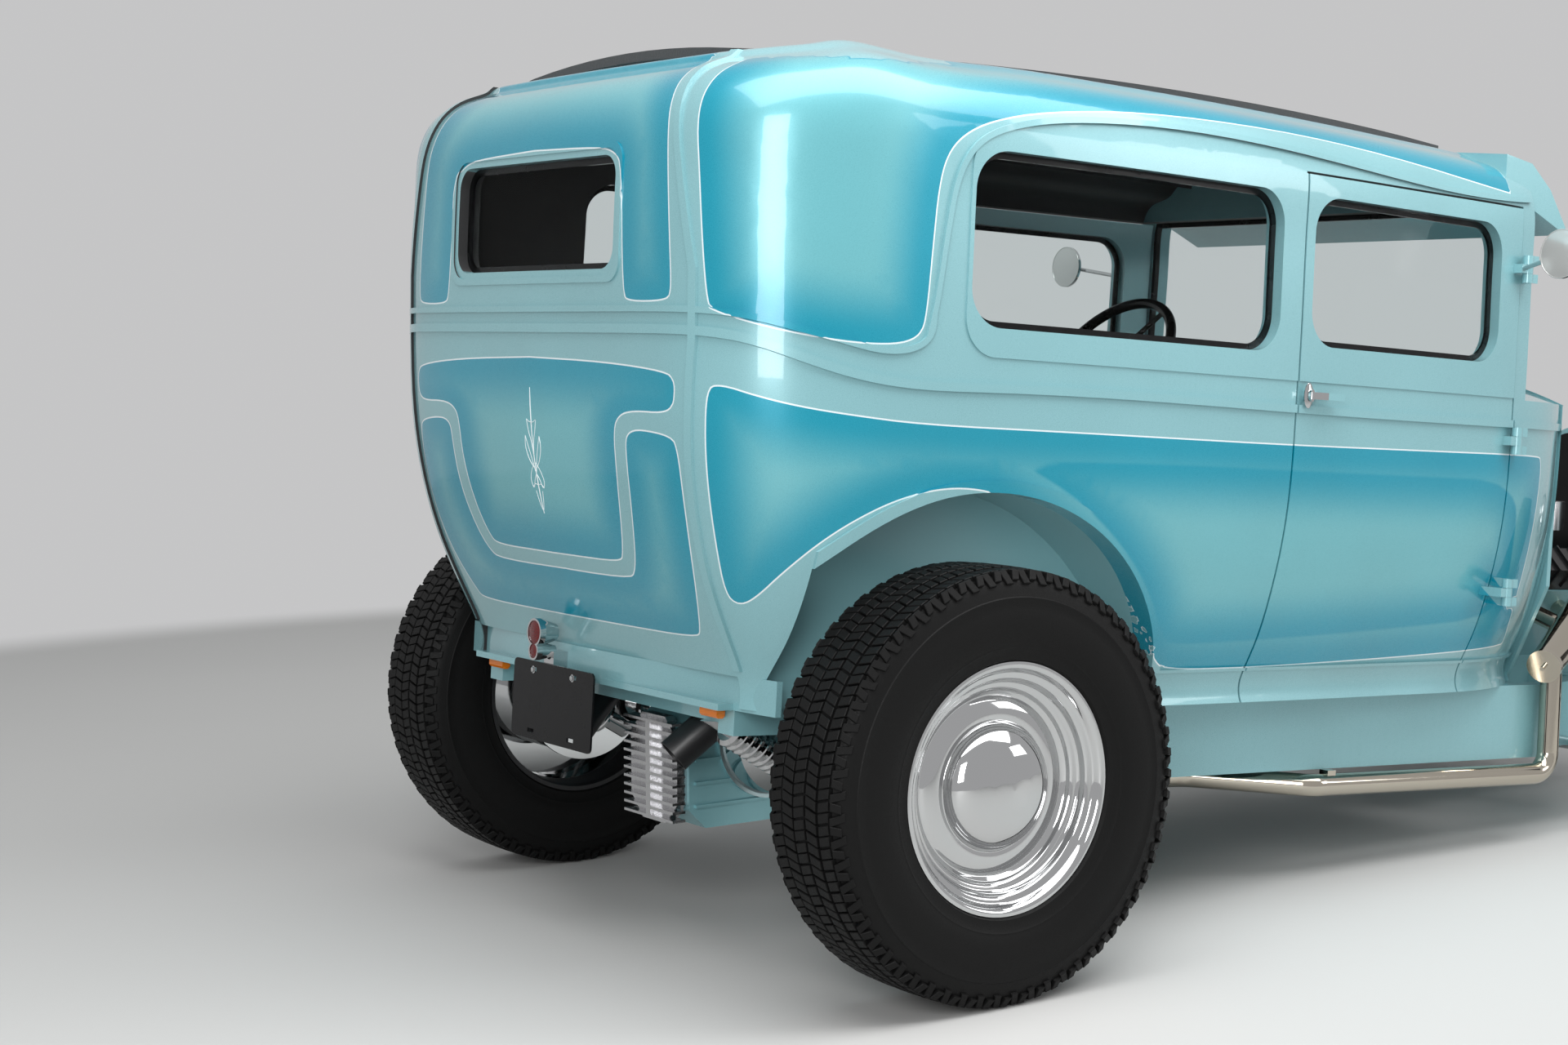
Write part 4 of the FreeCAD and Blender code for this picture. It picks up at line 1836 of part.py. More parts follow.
def tail_lamp():
    rear = mm.tail_lamp_rear
    drop = mm.lens_radius + mm.small_lens_radius / 2
    forms = []
    lenses = []
    for name, radius, level in (("large", mm.lens_radius, mm.tail_lamp_height),
                                ("small", mm.small_lens_radius, mm.tail_lamp_height - drop)):
        foot = (rear, mm.tail_lamp_out, level)
        back = (rear + mm.skin, mm.tail_lamp_out, level)
        forms.append(round_form(name + "_bezel", radius, mm.skin, foot, AHEAD))
        forms.append(cone_form(name + "_body", (radius, radius * LAMP_BODY_SHARES[1]),
                               mm.tail_lamp_depth - mm.skin, back, AHEAD))
        lenses.append(round_form(name + "_lens_seat", radius - mm.bar_radius, mm.bar_radius / 2,
                                 foot, AHEAD))
    start = Vector(rear + mm.tail_lamp_depth / 2, mm.tail_lamp_out, mm.tail_lamp_height - drop)
    end = Vector(mm.apron_middle + mm.skin / 2, mm.tail_lamp_out, mm.apron_bottom + mm.wall / 2)
    forms.append(bar_form("lamp_stalk", mm.small_lens_radius / 2, start, end))
    forms.append(box_form("lamp_tab", (mm.number_rear + mm.plate_thickness / 2,
                                       mm.apron_middle + mm.skin),
                          (mm.tail_lamp_out - mm.small_lens_radius,
                           mm.tail_lamp_out + mm.small_lens_radius),
                          (mm.apron_bottom + mm.plate_thickness / 2, mm.tail_lamp_height - drop)))
    return less("lamp_seated", one_piece("lamp_forms", forms), group("lens_seats", lenses))


tail = tail_lamp()
tail.Placement = RAKED
add_made("tail_lamp", less("tail_lamp", tail, rear_apron_made), HERE)


# Number plate with its four slots, and the two marker lamps under the apron
def number_plate():
    body = new_body("number_plate")
    middle = mm.number_centre_out
    half = mm.number_width / 2
    low, high = (mm.number_top - mm.number_height, mm.number_top)
    pad(body, outline(body, "YZ_Plane", oblong((middle - half, middle + half), (low, high)),
                      mm.number_rear), mm.plate_thickness / 2)
    rounded(body, mm.skin, lambda edge: abs(edge.tangentAt(edge.FirstParameter).x) > 0.99)
    margin = mm.skin * 2
    for out in (middle - half / 2, middle + half / 2):
        for level in (low + mm.skin, high - mm.skin - mm.bar_radius * 2):
            slot = oblong((out - margin / 2, out + margin / 2), (level, level + mm.bar_radius * 2))
            pocket(body, outline(body, "YZ_Plane", slot, mm.number_rear + mm.plate_thickness / 2),
                   mm.plate_thickness / 2)
    return body


add_made("number_plate", number_plate(), RAKED)


def marker():
    body = new_body("marker_body")
    rear = -mm.marker_behind
    top = mm.apron_bottom
    low = top - 2 * mm.marker_radius
    soft = mm.marker_radius / 2
    side = [(rear - mm.marker_radius, low + soft), (rear - soft, low), (rear + soft, low),
            (rear + mm.marker_radius, low + soft), (rear + mm.marker_radius, top),
            (rear - mm.marker_radius, top)]
    sketch = outline(body, "XZ_Plane", side, -mm.marker_out)
    pad(body, sketch, mm.marker_length, True)
    return body


marker_left = marker()
add_made("marker_lamps", group("marker_lamps", [marker_left, opposite("marker_other", marker_left)]),
         RAKED)


# Mirrors on arms from the top hinges
def mirror():
    centre = (mm.mirror_ahead, mm.mirror_out, mm.mirror_height)
    ahead = (mm.mirror_ahead + mm.skin / 2, mm.mirror_out, mm.mirror_height)
    forms = [round_form("mirror_glass", mm.mirror_radius, mm.skin / 2, centre, AHEAD),
             cone_form("mirror_back", (mm.mirror_radius, mm.mirror_radius / 2), mm.skin / 2, ahead,
                       AHEAD),
             bar_form("mirror_arm", mm.pin_radius, ahead,
                      (mm.hinge_ahead - mm.hinge_reach + mm.hinge_leaf / 2,
                       mm.hinge_out + mm.hinge_leaf / 2, mm.top_hinge_height))]
    return one_piece("mirror_forms", forms)


mirror_forms = mirror()
mirror_forms.Placement = RAKED
add_both("mirror", less("mirror_left", mirror_forms, door_left), HERE)


# Every object is sound before anything is written
doc.recompute()
for item in doc.Objects:
    if "Invalid" in item.State or "Error" in item.State:
        raise RuntimeError("%s could not be made: %s" % (item.Name, item.State))
for node in nodes:
    if node.Shape.isNull() or not node.Shape.isValid() or not node.Shape.Solids:
        raise RuntimeError("%s has no sound shape" % node.Label)
os.makedirs("parts", exist_ok=True)
for node in nodes:
    node.Shape.exportStep("parts/%s.step" % node.Label)
    print(node.Label, len(node.Shape.Solids), "solids,", round(node.Shape.Volume / 1e6, 3), "litres")
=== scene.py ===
# %% [markdown]
# A closed two-door street rod sedan: pale teal metallic paint with darker faded panels,
# black fabric roof insert, chrome wheels and an open engine. The solid model gives every
# piece its place. This script gives each surface its finish and adds what is too fine for
# the solid model.

# %% Load the car and note its size
import math

import bmesh
import bpy
import numpy as np
from mathutils import Matrix, Vector
from mathutils.bvhtree import BVHTree
from mathutils.kdtree import KDTree


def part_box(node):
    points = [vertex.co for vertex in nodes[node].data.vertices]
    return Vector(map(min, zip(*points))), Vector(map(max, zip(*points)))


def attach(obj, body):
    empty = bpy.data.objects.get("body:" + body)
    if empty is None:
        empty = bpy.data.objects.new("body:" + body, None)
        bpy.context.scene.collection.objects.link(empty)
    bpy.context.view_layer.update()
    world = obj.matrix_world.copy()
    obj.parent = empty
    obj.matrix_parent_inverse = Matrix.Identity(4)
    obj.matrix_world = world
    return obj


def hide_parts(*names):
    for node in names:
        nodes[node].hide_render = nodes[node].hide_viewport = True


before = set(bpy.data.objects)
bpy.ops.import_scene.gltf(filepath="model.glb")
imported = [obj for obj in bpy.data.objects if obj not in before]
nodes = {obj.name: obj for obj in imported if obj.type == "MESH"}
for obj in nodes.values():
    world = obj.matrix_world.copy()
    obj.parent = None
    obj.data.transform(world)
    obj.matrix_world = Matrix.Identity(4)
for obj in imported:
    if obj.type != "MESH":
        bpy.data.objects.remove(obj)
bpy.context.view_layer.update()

# %% [markdown]
# The body and frame are tipped nose down about the rear axle. Places on the body are
# easier to name in the level frame in which it was drawn, with x measured ahead of the
# axle and z up from the floor, so two helpers turn such places into the car's frame and
# back. All places here are in metres.

# %% From the level body frame to the car's frame, and back
RAKE = math.radians(4.1)
AXLE_AHEAD = -1.275
AXLE_HEIGHT = 0.384


def placed(ahead, out, up):
    rise = up - AXLE_HEIGHT
    return Vector((ahead * math.cos(RAKE) + rise * math.sin(RAKE) + AXLE_AHEAD, out,
                   rise * math.cos(RAKE) - ahead * math.sin(RAKE) + AXLE_HEIGHT))


def levelled(points):
    ahead = points[:, 0] - AXLE_AHEAD
    rise = points[:, 2] - AXLE_HEIGHT
    return np.stack([ahead * math.cos(RAKE) - rise * math.sin(RAKE), points[:, 1],
                     ahead * math.sin(RAKE) + rise * math.cos(RAKE) + AXLE_HEIGHT], axis=1)


TIP = Matrix.Translation(placed(0, 0, 0)) @ Matrix.Rotation(RAKE, 4, "Y")
REARWARD = placed(-1, 0, 0) - placed(0, 0, 0)
FORWARD = placed(1, 0, 0) - placed(0, 0, 0)
print("tipped", round(math.degrees(RAKE), 1), "degrees nose down")

# %% [markdown]
# The camera stands where the photograph was taken from: behind the car on the right, at
# about the height of the belt, looking a little down. It comes first because the painted
# panels are laid out on the body through it, like a slide projected onto the car.

# %% Camera
CAMERA_PLACE = (-4.06196, -4.15323, 1.20469)
CAMERA_YAW = math.radians(55.21)
CAMERA_PITCH = math.radians(4.71)
CAMERA_ROLL = math.radians(-0.27)
FOCAL_PIXELS = 3111.34
IMAGE_WIDTH = 1920
IMAGE_HEIGHT = 1280
SENSOR_WIDTH = 36.0

look = Vector((math.cos(CAMERA_PITCH) * math.cos(CAMERA_YAW),
               math.cos(CAMERA_PITCH) * math.sin(CAMERA_YAW), -math.sin(CAMERA_PITCH)))
level_right = Vector((math.sin(CAMERA_YAW), -math.cos(CAMERA_YAW), 0.0))
level_up = level_right.cross(look)
right = level_right * math.cos(CAMERA_ROLL) + level_up * math.sin(CAMERA_ROLL)
upward = level_up * math.cos(CAMERA_ROLL) - level_right * math.sin(CAMERA_ROLL)
camera_data = bpy.data.cameras.new("photo_camera")
camera_data.sensor_width = SENSOR_WIDTH
camera_data.sensor_fit = "HORIZONTAL"
camera_data.lens = FOCAL_PIXELS / IMAGE_WIDTH * SENSOR_WIDTH
camera_data.clip_end = 200.0
camera = bpy.data.objects.new("photo_camera", camera_data)
bpy.context.collection.objects.link(camera)
turn = Matrix((right, upward, -look)).transposed().to_4x4()
camera.matrix_world = Matrix.Translation(CAMERA_PLACE) @ turn
bpy.context.scene.camera = camera
bpy.context.scene.view_settings.view_transform = "Standard"
print("camera lens", round(camera_data.lens, 2), "mm")

# %% [markdown]
# A material is a small graph of nodes. Most finishes here share the same parts: a base
# colour, a roughness, and a fine noise that changes the colour, the gloss or the surface a
# little, so a few helpers start each of them and the finishes below add what is their own.

# %% A material, and one node of its graph
def new_material(name, colour, roughness, metallic=0.0, sockets=()):
    material = bpy.data.materials.new(name)
    material.use_nodes = True
    shader = material.node_tree.nodes["Principled BSDF"]
    shader.inputs["Base Color"].default_value = (*colour, 1.0)
    shader.inputs["Roughness"].default_value = roughness
    shader.inputs["Metallic"].default_value = metallic
    for socket, value in dict(sockets).items():
        shader.inputs[socket].default_value = value
    return material, material.node_tree, shader


def add_node(tree, kind, inputs, **settings):
    """A new node. Each input takes a value or another node's output."""
    node = tree.nodes.new("ShaderNode" + kind)
    for setting, value in settings.items():
        setattr(node, setting, value)
    for socket, value in inputs.items():
        if isinstance(value, bpy.types.NodeSocket):
            tree.links.new(value, node.inputs[socket])
        elif value is not None:
            node.inputs[socket].default_value = value
    return node.outputs


print("helpers for materials ready")

# %% [markdown]
# The graph's usual steps get short names: a noise that follows the piece's own coordinates,
# a bump, a change of range, a mix of two colours and a sum. Written out node by node they
# would fill pages and hide what each finish does.

# %% Short names for the graph's usual steps
EVEN = (1.0, 1.0, 1.0)
NOISE_SPAN = (0.3, 0.7)


def object_place(tree):
    return add_node(tree, "TexCoord", {})["Object"]


def add_noise(tree, scale, detail=2.0, stretch=EVEN):
    place = add_node(tree, "Mapping", {"Vector": object_place(tree), "Scale": stretch})["Vector"]
    return add_node(tree, "TexNoise", {"Vector": place, "Scale": scale, "Detail": detail})["Fac"]


def add_bump(tree, shader, height, strength, distance):
    bump = add_node(tree, "Bump", {"Height": height, "Strength": strength, "Distance": distance})
    tree.links.new(bump["Normal"], shader.inputs["Normal"])


def add_range(tree, value, low, high, out_low, out_high, kind="SMOOTHSTEP"):
    return add_node(tree, "MapRange", {"Value": value, "From Min": low, "From Max": high,
                                       "To Min": out_low, "To Max": out_high},
                    interpolation_type=kind)["Result"]


def add_mix(tree, factor, first, second):
    colours = [(*colour, 1.0) if isinstance(colour, tuple) else colour
               for colour in (first, second)]
    return add_node(tree, "Mix", {"Factor": factor, "A": colours[0], "B": colours[1]},
                    data_type="RGBA")["Result"]


def add_math(tree, kind, first, second=None):
    return add_node(tree, "Math", {0: first, 1: second}, operation=kind)["Value"]


def vector_axis(tree, vector, axis):
    return add_node(tree, "SeparateXYZ", {"Vector": vector})[axis]


print("noise is read between", NOISE_SPAN)

# %% [markdown]
# Many finishes on a car differ only in colour and in the grain of their gloss: a polished
# part is nearly even, cloth and rubber are rough and pitted. One helper makes them all, so
# that each finish is one line of numbers.

# %% A finish with a grain
def grained(name, colour, metallic, grain, bump=None, stretch=EVEN, sockets=()):
    """A finish whose gloss varies with a fine grain, given as (scale, low, high)."""
    scale, low, high = grain
    material, tree, shader = new_material(name, colour, low, metallic, sockets)
    noise = add_noise(tree, scale, 3.0, stretch)
    tree.links.new(add_range(tree, noise, *NOISE_SPAN, low, high, "LINEAR"),
                   shader.inputs["Roughness"])
    if bump:
        add_bump(tree, shader, noise, *bump)
    return material


print("helper for grained finishes ready")

# %% [markdown]
# Metals: chrome is nearly a mirror, with very faint changes in its gloss where it was
# polished. Cast and machined aluminium is duller and has a fine brushed grain, drawn out
# across the car.

# %% Chrome and aluminium
chrome = grained("bright_chrome", (0.55, 0.556, 0.56), 1.0, (14.0, 0.03, 0.08))
alloy = grained("polished_alloy", (0.52, 0.52, 0.53), 1.0, (60.0, 0.12, 0.30),
                (0.15, 0.0006), (1.0, 8.0, 1.0))
print("metals", chrome.name, alloy.name)

# %% [markdown]
# Soft and dark finishes: tyre rubber is matt with a fine pitted skin, the roof insert is a
# coarse grained fabric, the cabin is trimmed in fine black cloth and leather, and the
# steering gear, the radiator and the plate are black enamel.

# %% Rubber, fabric, leather and enamel
black = grained("black_enamel", (0.004, 0.004, 0.0045), 0.0, (25.0, 0.16, 0.30),
                sockets={"Specular IOR Level": 0.2})
rubber = grained("tyre_rubber", (0.006, 0.006, 0.006), 0.0, (320.0, 0.42, 0.62),
                 (0.25, 0.0008), sockets={"Specular IOR Level": 0.12})
fabric = grained("roof_fabric", (0.012, 0.012, 0.013), 0.0, (420.0, 0.58, 0.80),
                 (0.6, 0.0012), sockets={"Sheen Weight": 0.25})
cloth = grained("cabin_cloth", (0.014, 0.014, 0.015), 0.0, (700.0, 0.72, 0.88),
                (0.5, 0.0006), sockets={"Sheen Weight": 0.2})
leather, leather_tree, leather_shader = new_material("black_leather", (0.016, 0.016, 0.017),
                                                     0.42)
pores = add_node(leather_tree, "TexVoronoi", {"Vector": object_place(leather_tree),
                                              "Scale": 260.0})["Distance"]
add_bump(leather_tree, leather_shader, pores, 0.35, 0.0006)
leather_tree.links.new(add_range(leather_tree, pores, 0.0, 0.6, 0.36, 0.52),
                       leather_shader.inputs["Roughness"])
print("soft finishes", [material.name for material in (black, rubber, leather, fabric, cloth)])

# %% [markdown]
# Glass for the windows is clear and nearly colourless. The lamp lenses are coloured through
# and finely ribbed, which a wave bump gives them.

# %% Glass and lenses
glass, glass_tree, glass_shader = new_material(
    "clear_glass", (0.93, 0.97, 0.97), 0.0,
    sockets={"Transmission Weight": 1.0, "IOR": 1.02, "Coat Weight": 0.05})
glass_smear = add_noise(glass_tree, 3.0, 4.0)
glass_tree.links.new(add_range(glass_tree, glass_smear, *NOISE_SPAN, 0.0, 0.015),
                     glass_shader.inputs["Roughness"])


def lens_material(name, colour):
    material, tree, shader = new_material(
        name, colour, 0.08,
        sockets={"Transmission Weight": 0.2, "Coat Weight": 0.2, "Specular IOR Level": 0.3})
    ribs = add_node(tree, "TexWave", {"Vector": object_place(tree), "Scale": 60.0},
                    bands_direction="Z")
    add_bump(tree, shader, ribs["Color"], 0.4, 0.001)
    tree.links.new(add_range(tree, ribs["Fac"], 0.0, 1.0, 0.06, 0.14),
                   shader.inputs["Roughness"])
    return material


amber = lens_material("amber_lens", (0.85, 0.22, 0.01))
red_glass = lens_material("red_lens", (0.13, 0.002, 0.003))
print("lenses", amber.name, red_glass.name)

# %% [markdown]
# The paint is a pearl: a coloured base with some metal in it under a clear coat. Fine
# flakes vary its gloss, and a slow drift of the tint keeps large faces from looking flat.

# %% Pearl paint
PALE_TEAL = (0.215, 0.430, 0.465)
FLAKE_SCALE = 1400.0
PEARL = {"Metallic": 0.15, "Specular IOR Level": 0.45, "Coat Weight": 1.0,
         "Coat Roughness": 0.03, "Coat IOR": 1.33}


def finish_paint(tree, shader, colour):
    for socket, value in PEARL.items():
        shader.inputs[socket].default_value = value
    flakes = add_noise(tree, FLAKE_SCALE, 1.0)
    tree.links.new(add_range(tree, flakes, *NOISE_SPAN, 0.24, 0.36), shader.inputs["Roughness"])
    add_bump(tree, shader, flakes, 0.02, 0.0004)
    tint = add_range(tree, add_noise(tree, 2.2, 3.0), *NOISE_SPAN, 0.965, 1.035)
    scaled = add_node(tree, "VectorMath", {0: colour, "Scale": tint}, operation="SCALE")
    tree.links.new(scaled["Vector"], shader.inputs["Base Color"])


paint, paint_tree, paint_shader = new_material("teal_paint", PALE_TEAL, 0.3)
finish_paint(paint_tree, paint_shader, PALE_TEAL)
print("paint", paint.name)

# %% [markdown]
# The panels are airbrushed: the colour goes from a deep edge to a light middle, and a thin
# white line marks the edge. A picture could hold them, but lines stay crisp at any distance
# when they are reckoned. Two attributes of the painted pieces steer them. "panel_depth"
# says how far a point is inside a panel, below zero outside, and "inner_depth" the same for
# the field within the side panel.

# %% Paint with faded panels
DEEP_TEAL = (0.0, 0.260, 0.365)
LIGHT_TEAL = (0.130, 0.410, 0.455)
LINE_WHITE = (0.72, 0.80, 0.82)
FADE_START = 0.014
FADE_RUN = 0.130
INNER_RUN = 0.120
INNER_SOFT = (-0.006, 0.003)
LINE_HALF = 0.0014
LINE_SOFT = 0.0003
EDGE_SOFT = 0.0004


def read_attribute(tree, name):
    return add_node(tree, "Attribute", {}, attribute_name=name)["Fac"]


panel_paint, panel_tree, panel_shader = new_material("panelled_paint", PALE_TEAL, 0.3)
panel_depth = read_attribute(panel_tree, "panel_depth")
inner_depth = read_attribute(panel_tree, "inner_depth")
outer_fade = add_range(panel_tree, panel_depth, FADE_START, FADE_RUN, 0.0, 1.0)
inner_fade = add_range(panel_tree, inner_depth, 0.0, INNER_RUN, 0.0, 1.0)
is_inner = add_range(panel_tree, inner_depth, *INNER_SOFT, 0.0, 1.0)
fade = add_node(panel_tree, "Mix", {"Factor": is_inner, "A": outer_fade, "B": inner_fade})
field = add_mix(panel_tree, fade["Result"], DEEP_TEAL, LIGHT_TEAL)
in_panel = add_range(panel_tree, panel_depth, -EDGE_SOFT, EDGE_SOFT, 0.0, 1.0)
panelled = add_mix(panel_tree, in_panel, PALE_TEAL, field)
near_line = add_range(panel_tree, add_math(panel_tree, "ABSOLUTE", panel_depth),
                      LINE_HALF - LINE_SOFT, LINE_HALF + LINE_SOFT, 1.0, 0.0)
finish_paint(panel_tree, panel_shader, add_mix(panel_tree, near_line, panelled, LINE_WHITE))
print("panels fade over", FADE_RUN, "m in", panel_paint.name)

# %% [markdown]
# Some solids carry two finishes: the axle has a painted middle and chrome bells, the wheels
# are chrome outside and black inside, and the exhaust is black behind and bright in front,
# a little golden from the heat. A material can choose by place, reading the Object
# coordinates.

# %% Finishes that change along the part
def two_part(name, axis, split, width, first, second):
    """First below the split, second above it, as (colour, metallic, roughness)."""
    material, tree, shader = new_material(name, first[0], first[2], first[1])
    place = vector_axis(tree, object_place(tree), axis)
    if axis == "Y":
        place = add_math(tree, "ABSOLUTE", place)
    side = add_range(tree, place, split - width, split + width, 0.0, 1.0)
    tree.links.new(add_mix(tree, side, first[0], second[0]), shader.inputs["Base Color"])
    tree.links.new(add_range(tree, side, 0.0, 1.0, first[1], second[1]),
                   shader.inputs["Metallic"])
    wear = add_range(tree, add_noise(tree, 30.0, 3.0), *NOISE_SPAN, -0.015, 0.015)
    base = add_range(tree, side, 0.0, 1.0, first[2], second[2])
    tree.links.new(add_math(tree, "ADD", base, wear), shader.inputs["Roughness"])
    return material


BRIGHT = ((0.55, 0.556, 0.56), 1.0, 0.05)
PAINTED = (PALE_TEAL, 0.3, 0.2)
DARK = ((0.012, 0.012, 0.013), 0.0, 0.35)
WARM = ((0.52, 0.475, 0.40), 1.0, 0.09)
CAST = ((0.74, 0.74, 0.75), 1.0, 0.2)
COVER = ((0.012, 0.012, 0.013), 0.2, 0.25)
axle_finish = two_part("axle_finish", "Y", 0.100, 0.0006, PAINTED, BRIGHT)
rear_wheel_finish = two_part("rear_wheel_finish", "Y", 0.700, 0.001, DARK, BRIGHT)
front_wheel_finish = two_part("front_wheel_finish", "Y", 0.680, 0.001, DARK, BRIGHT)
exhaust_finish = two_part("exhaust_finish", "X", -0.55, 0.01, DARK, WARM)
valve_finish = two_part("valve_cover_finish", "Y", 0.17, 0.004, CAST, COVER)
print("two-part finishes made")

# %% [markdown]
# The floor pan is painted underneath and carpeted on top. Which is which depends on where
# the surface looks, so its material reads the surface's own normal and lays a coarse black
# pile on whatever faces up.

# %% Carpet on top of the floor pan
CARPET_BLACK = (0.010, 0.010, 0.011)
UPWARD_LOOK = (0.25, 0.35)
carpet_paint, carpet_tree, carpet_shader = new_material("carpeted_floor", PALE_TEAL, 0.3)
looks = add_node(carpet_tree, "NewGeometry", {})["Normal"]
on_top = add_range(carpet_tree, vector_axis(carpet_tree, looks, "Z"), *UPWARD_LOOK, 0.0, 1.0)
carpet_tree.links.new(add_mix(carpet_tree, on_top, PALE_TEAL, CARPET_BLACK),
                      carpet_shader.inputs["Base Color"])
carpet_tree.links.new(add_range(carpet_tree, on_top, 0.0, 1.0, 0.28, 0.95),
                      carpet_shader.inputs["Roughness"])
pile = add_math(carpet_tree, "MULTIPLY", add_noise(carpet_tree, 500.0, 3.0), on_top)
add_bump(carpet_tree, carpet_shader, pile, 0.8, 0.002)
print(carpet_paint.name)

# %% [markdown]
# Each solid of the model now gets its finish. Most keep the solid's own mesh to the end.
# The painted body, the tyres, the wheels and the seats are replaced further down by finer
# pieces, and their solids are dressed here only so that none is left bare.

# %% Give every solid its finish
SIDES = (("left", 1), ("right", -1))


def pair(name):
    return [name + "_" + side for side, _ in SIDES]


FINISHES = (
    (carpet_paint, ["floor_pan"]),
    (paint, ["rear_panel", "cowl", "roof_surround", "crossmembers", "rear_apron", "dashboard",
             "engine_block", "grille_shell"] + pair("quarter_panel") + pair("frame_rail")
     + pair("door")),
    (fabric, ["roof_insert"]),
    (axle_finish, ["rear_axle"]),
    (glass, ["fixed_glass", "windshield"] + pair("door_glass")),
    (leather, ["front_seat", "rear_seat"]),
    (black, ["steering_column", "radiator", "number_plate", "steering_wheel"]),
    (exhaust_finish, pair("exhaust")),
    (valve_finish, ["engine_top"]),
    (alloy, ["axle_cover", "transmission"]),
    (rear_wheel_finish, pair("rear_wheel")),
    (front_wheel_finish, pair("front_wheel")),
    (chrome, ["rear_suspension", "front_axle", "front_suspension", "grille_insert",
              "headlamps", "tail_lamp", "tie_rod"] + pair("knuckle") + pair("mirror")),
    (amber, ["marker_lamps"]),
    (rubber, pair("rear_tyre") + pair("front_tyre")),
)
for material, names in FINISHES:
    for name in names:
        nodes[name].data.materials.clear()
        nodes[name].data.materials.append(material)
print(sum(len(names) for _, names in FINISHES), "of", len(nodes), "solids dressed")

# %% [markdown]
# The painted body is copied node by node, because its panels need a finer mesh than the
# solids have. The corner normals of the solid are kept in a layer before the triangles are
# cut, so that the copy shines as smoothly as the original.

# %% Copy a node's mesh with its shading
def vectors(items, name, kind=float):
    """One vector of each item, such as a vertex's place or a face's normal, as rows."""
    found = np.zeros(len(items) * 3, kind)
    items.foreach_get(name, found)
    return found.reshape(-1, 3)


def copied_form(node_name):
    mesh = nodes[node_name].data
    normals = vectors(mesh.corner_normals, "vector", np.float32)
    form = bmesh.new()
    form.from_mesh(mesh)
    layer = form.loops.layers.float_vector.new("shade")
    loops = (loop for face in form.faces for loop in face.loops)
    for loop, normal in zip(loops, normals):
        loop[layer] = normal
    bmesh.ops.remove_doubles(form, verts=form.verts[:], dist=0.00001)
    return form


PAINTED_BODIES = {"quarter_panel_left": "chassis", "quarter_panel_right": "chassis",
                  "rear_panel": "chassis", "cowl": "chassis", "roof_surround": "chassis",
                  "door_left": "door_left", "door_right": "door_right"}
forms = {name: copied_form(name) for name in PAINTED_BODIES}
print("copied", {name: len(form.faces) for name, form in forms.items()})

# %% [markdown]
# The panels' outlines are drawn as a sign painter would see them from the camera: as
# corners in the photograph's pixels. Each outline is rounded at its corners, then thrown
# onto the right side of the body by casting rays. The left side mirrors the right one, so
# outlines are only needed once, and the back's outlines stop at the middle of the car.

# %% Outlines in the photograph's pixels
SIDE_LOWER = [(865, 477), (880, 470), (930, 486), (980, 498), (1040, 508), (1130, 520),
              (1300, 529), (1440, 537), (1580, 545), (1740, 552), (1880, 558), (1889, 563),
              (1876, 660), (1843, 781), (1836, 793), (1700, 806), (1520, 818), (1425, 820),
              (1412, 808), (1395, 760), (1370, 715), (1330, 670), (1300, 645), (1270, 625),
              (1230, 607), (1190, 598), (1150, 599), (1105, 610), (1060, 630), (1010, 660),
              (960, 700), (925, 733), (905, 742), (888, 728), (876, 665), (867, 600),
              (863, 540)]
SIDE_INNER = [(1265, 570), (1275, 566), (1440, 570), (1580, 577), (1730, 584), (1860, 590),
              (1852, 680), (1836, 755), (1700, 770), (1560, 782), (1432, 790), (1424, 780),
              (1410, 730), (1390, 690), (1360, 650), (1325, 615), (1290, 590), (1267, 577)]
SIDE_UPPER_LOW = [(915, 72), (885, 85), (867, 104), (857, 128), (854, 160), (856, 200),
                  (860, 300), (866, 372), (874, 381), (930, 398),
                  (1000, 413), (1060, 421), (1105, 421), (1128, 410), (1135, 385),
                  (1143, 300), (1150, 230), (1160, 190), (1180, 165), (1215, 148),
                  (1280, 137), (1400, 137), (1560, 158), (1700, 190), (1850, 237)]
BACK_T = [(646, 437), (740, 443), (816, 455), (825, 466), (826, 480), (824, 498), (812, 506),
          (775, 503), (758, 508), (751, 525), (755, 580), (764, 680), (758, 688), (700, 680),
          (652, 673)]
BACK_U = [(655, 690), (770, 709), (779, 700), (775, 640), (765, 545), (769, 529), (785, 526),
          (820, 534), (829, 546), (838, 620), (859, 772), (853, 781), (760, 765), (660, 746)]
BACK_UPPER = [(650, 185), (735, 180), (753, 186), (761, 202), (762, 360), (770, 369),
              (815, 368), (822, 358), (820, 300), (818, 220), (818, 160), (821, 128),
              (830, 102), (845, 86), (860, 78)]
print("outline corners", [len(line) for line in (SIDE_LOWER, SIDE_INNER, SIDE_UPPER_LOW,
                                                 BACK_T, BACK_U, BACK_UPPER)])

# %% [markdown]
# Where the upper side and back panels meet the roof, the photograph sees the surface edge
# on. Their upper edges are given on the body instead: a little below the roof insert.

# %% Upper edges on the body, and the rounding of corners
ROOF_EDGE_SIDE = [(1.49, 0.402, 1.650), (1.24, 0.418, 1.662), (1.00, 0.443, 1.666),
                  (0.76, 0.463, 1.668), (0.52, 0.477, 1.666), (0.28, 0.485, 1.660),
                  (0.04, 0.489, 1.652), (-0.12, 0.489, 1.640), (-0.24, 0.486, 1.628)]
ROOF_EDGE_BACK = [(-0.366, 0.400, 1.630), (-0.368, 0.300, 1.640), (-0.368, 0.150, 1.652),
                  (-0.368, 0.0, 1.655)]
PIXEL_STEP = 5.0
BODY_STEP = 0.02
CORNER_CUTS = 2


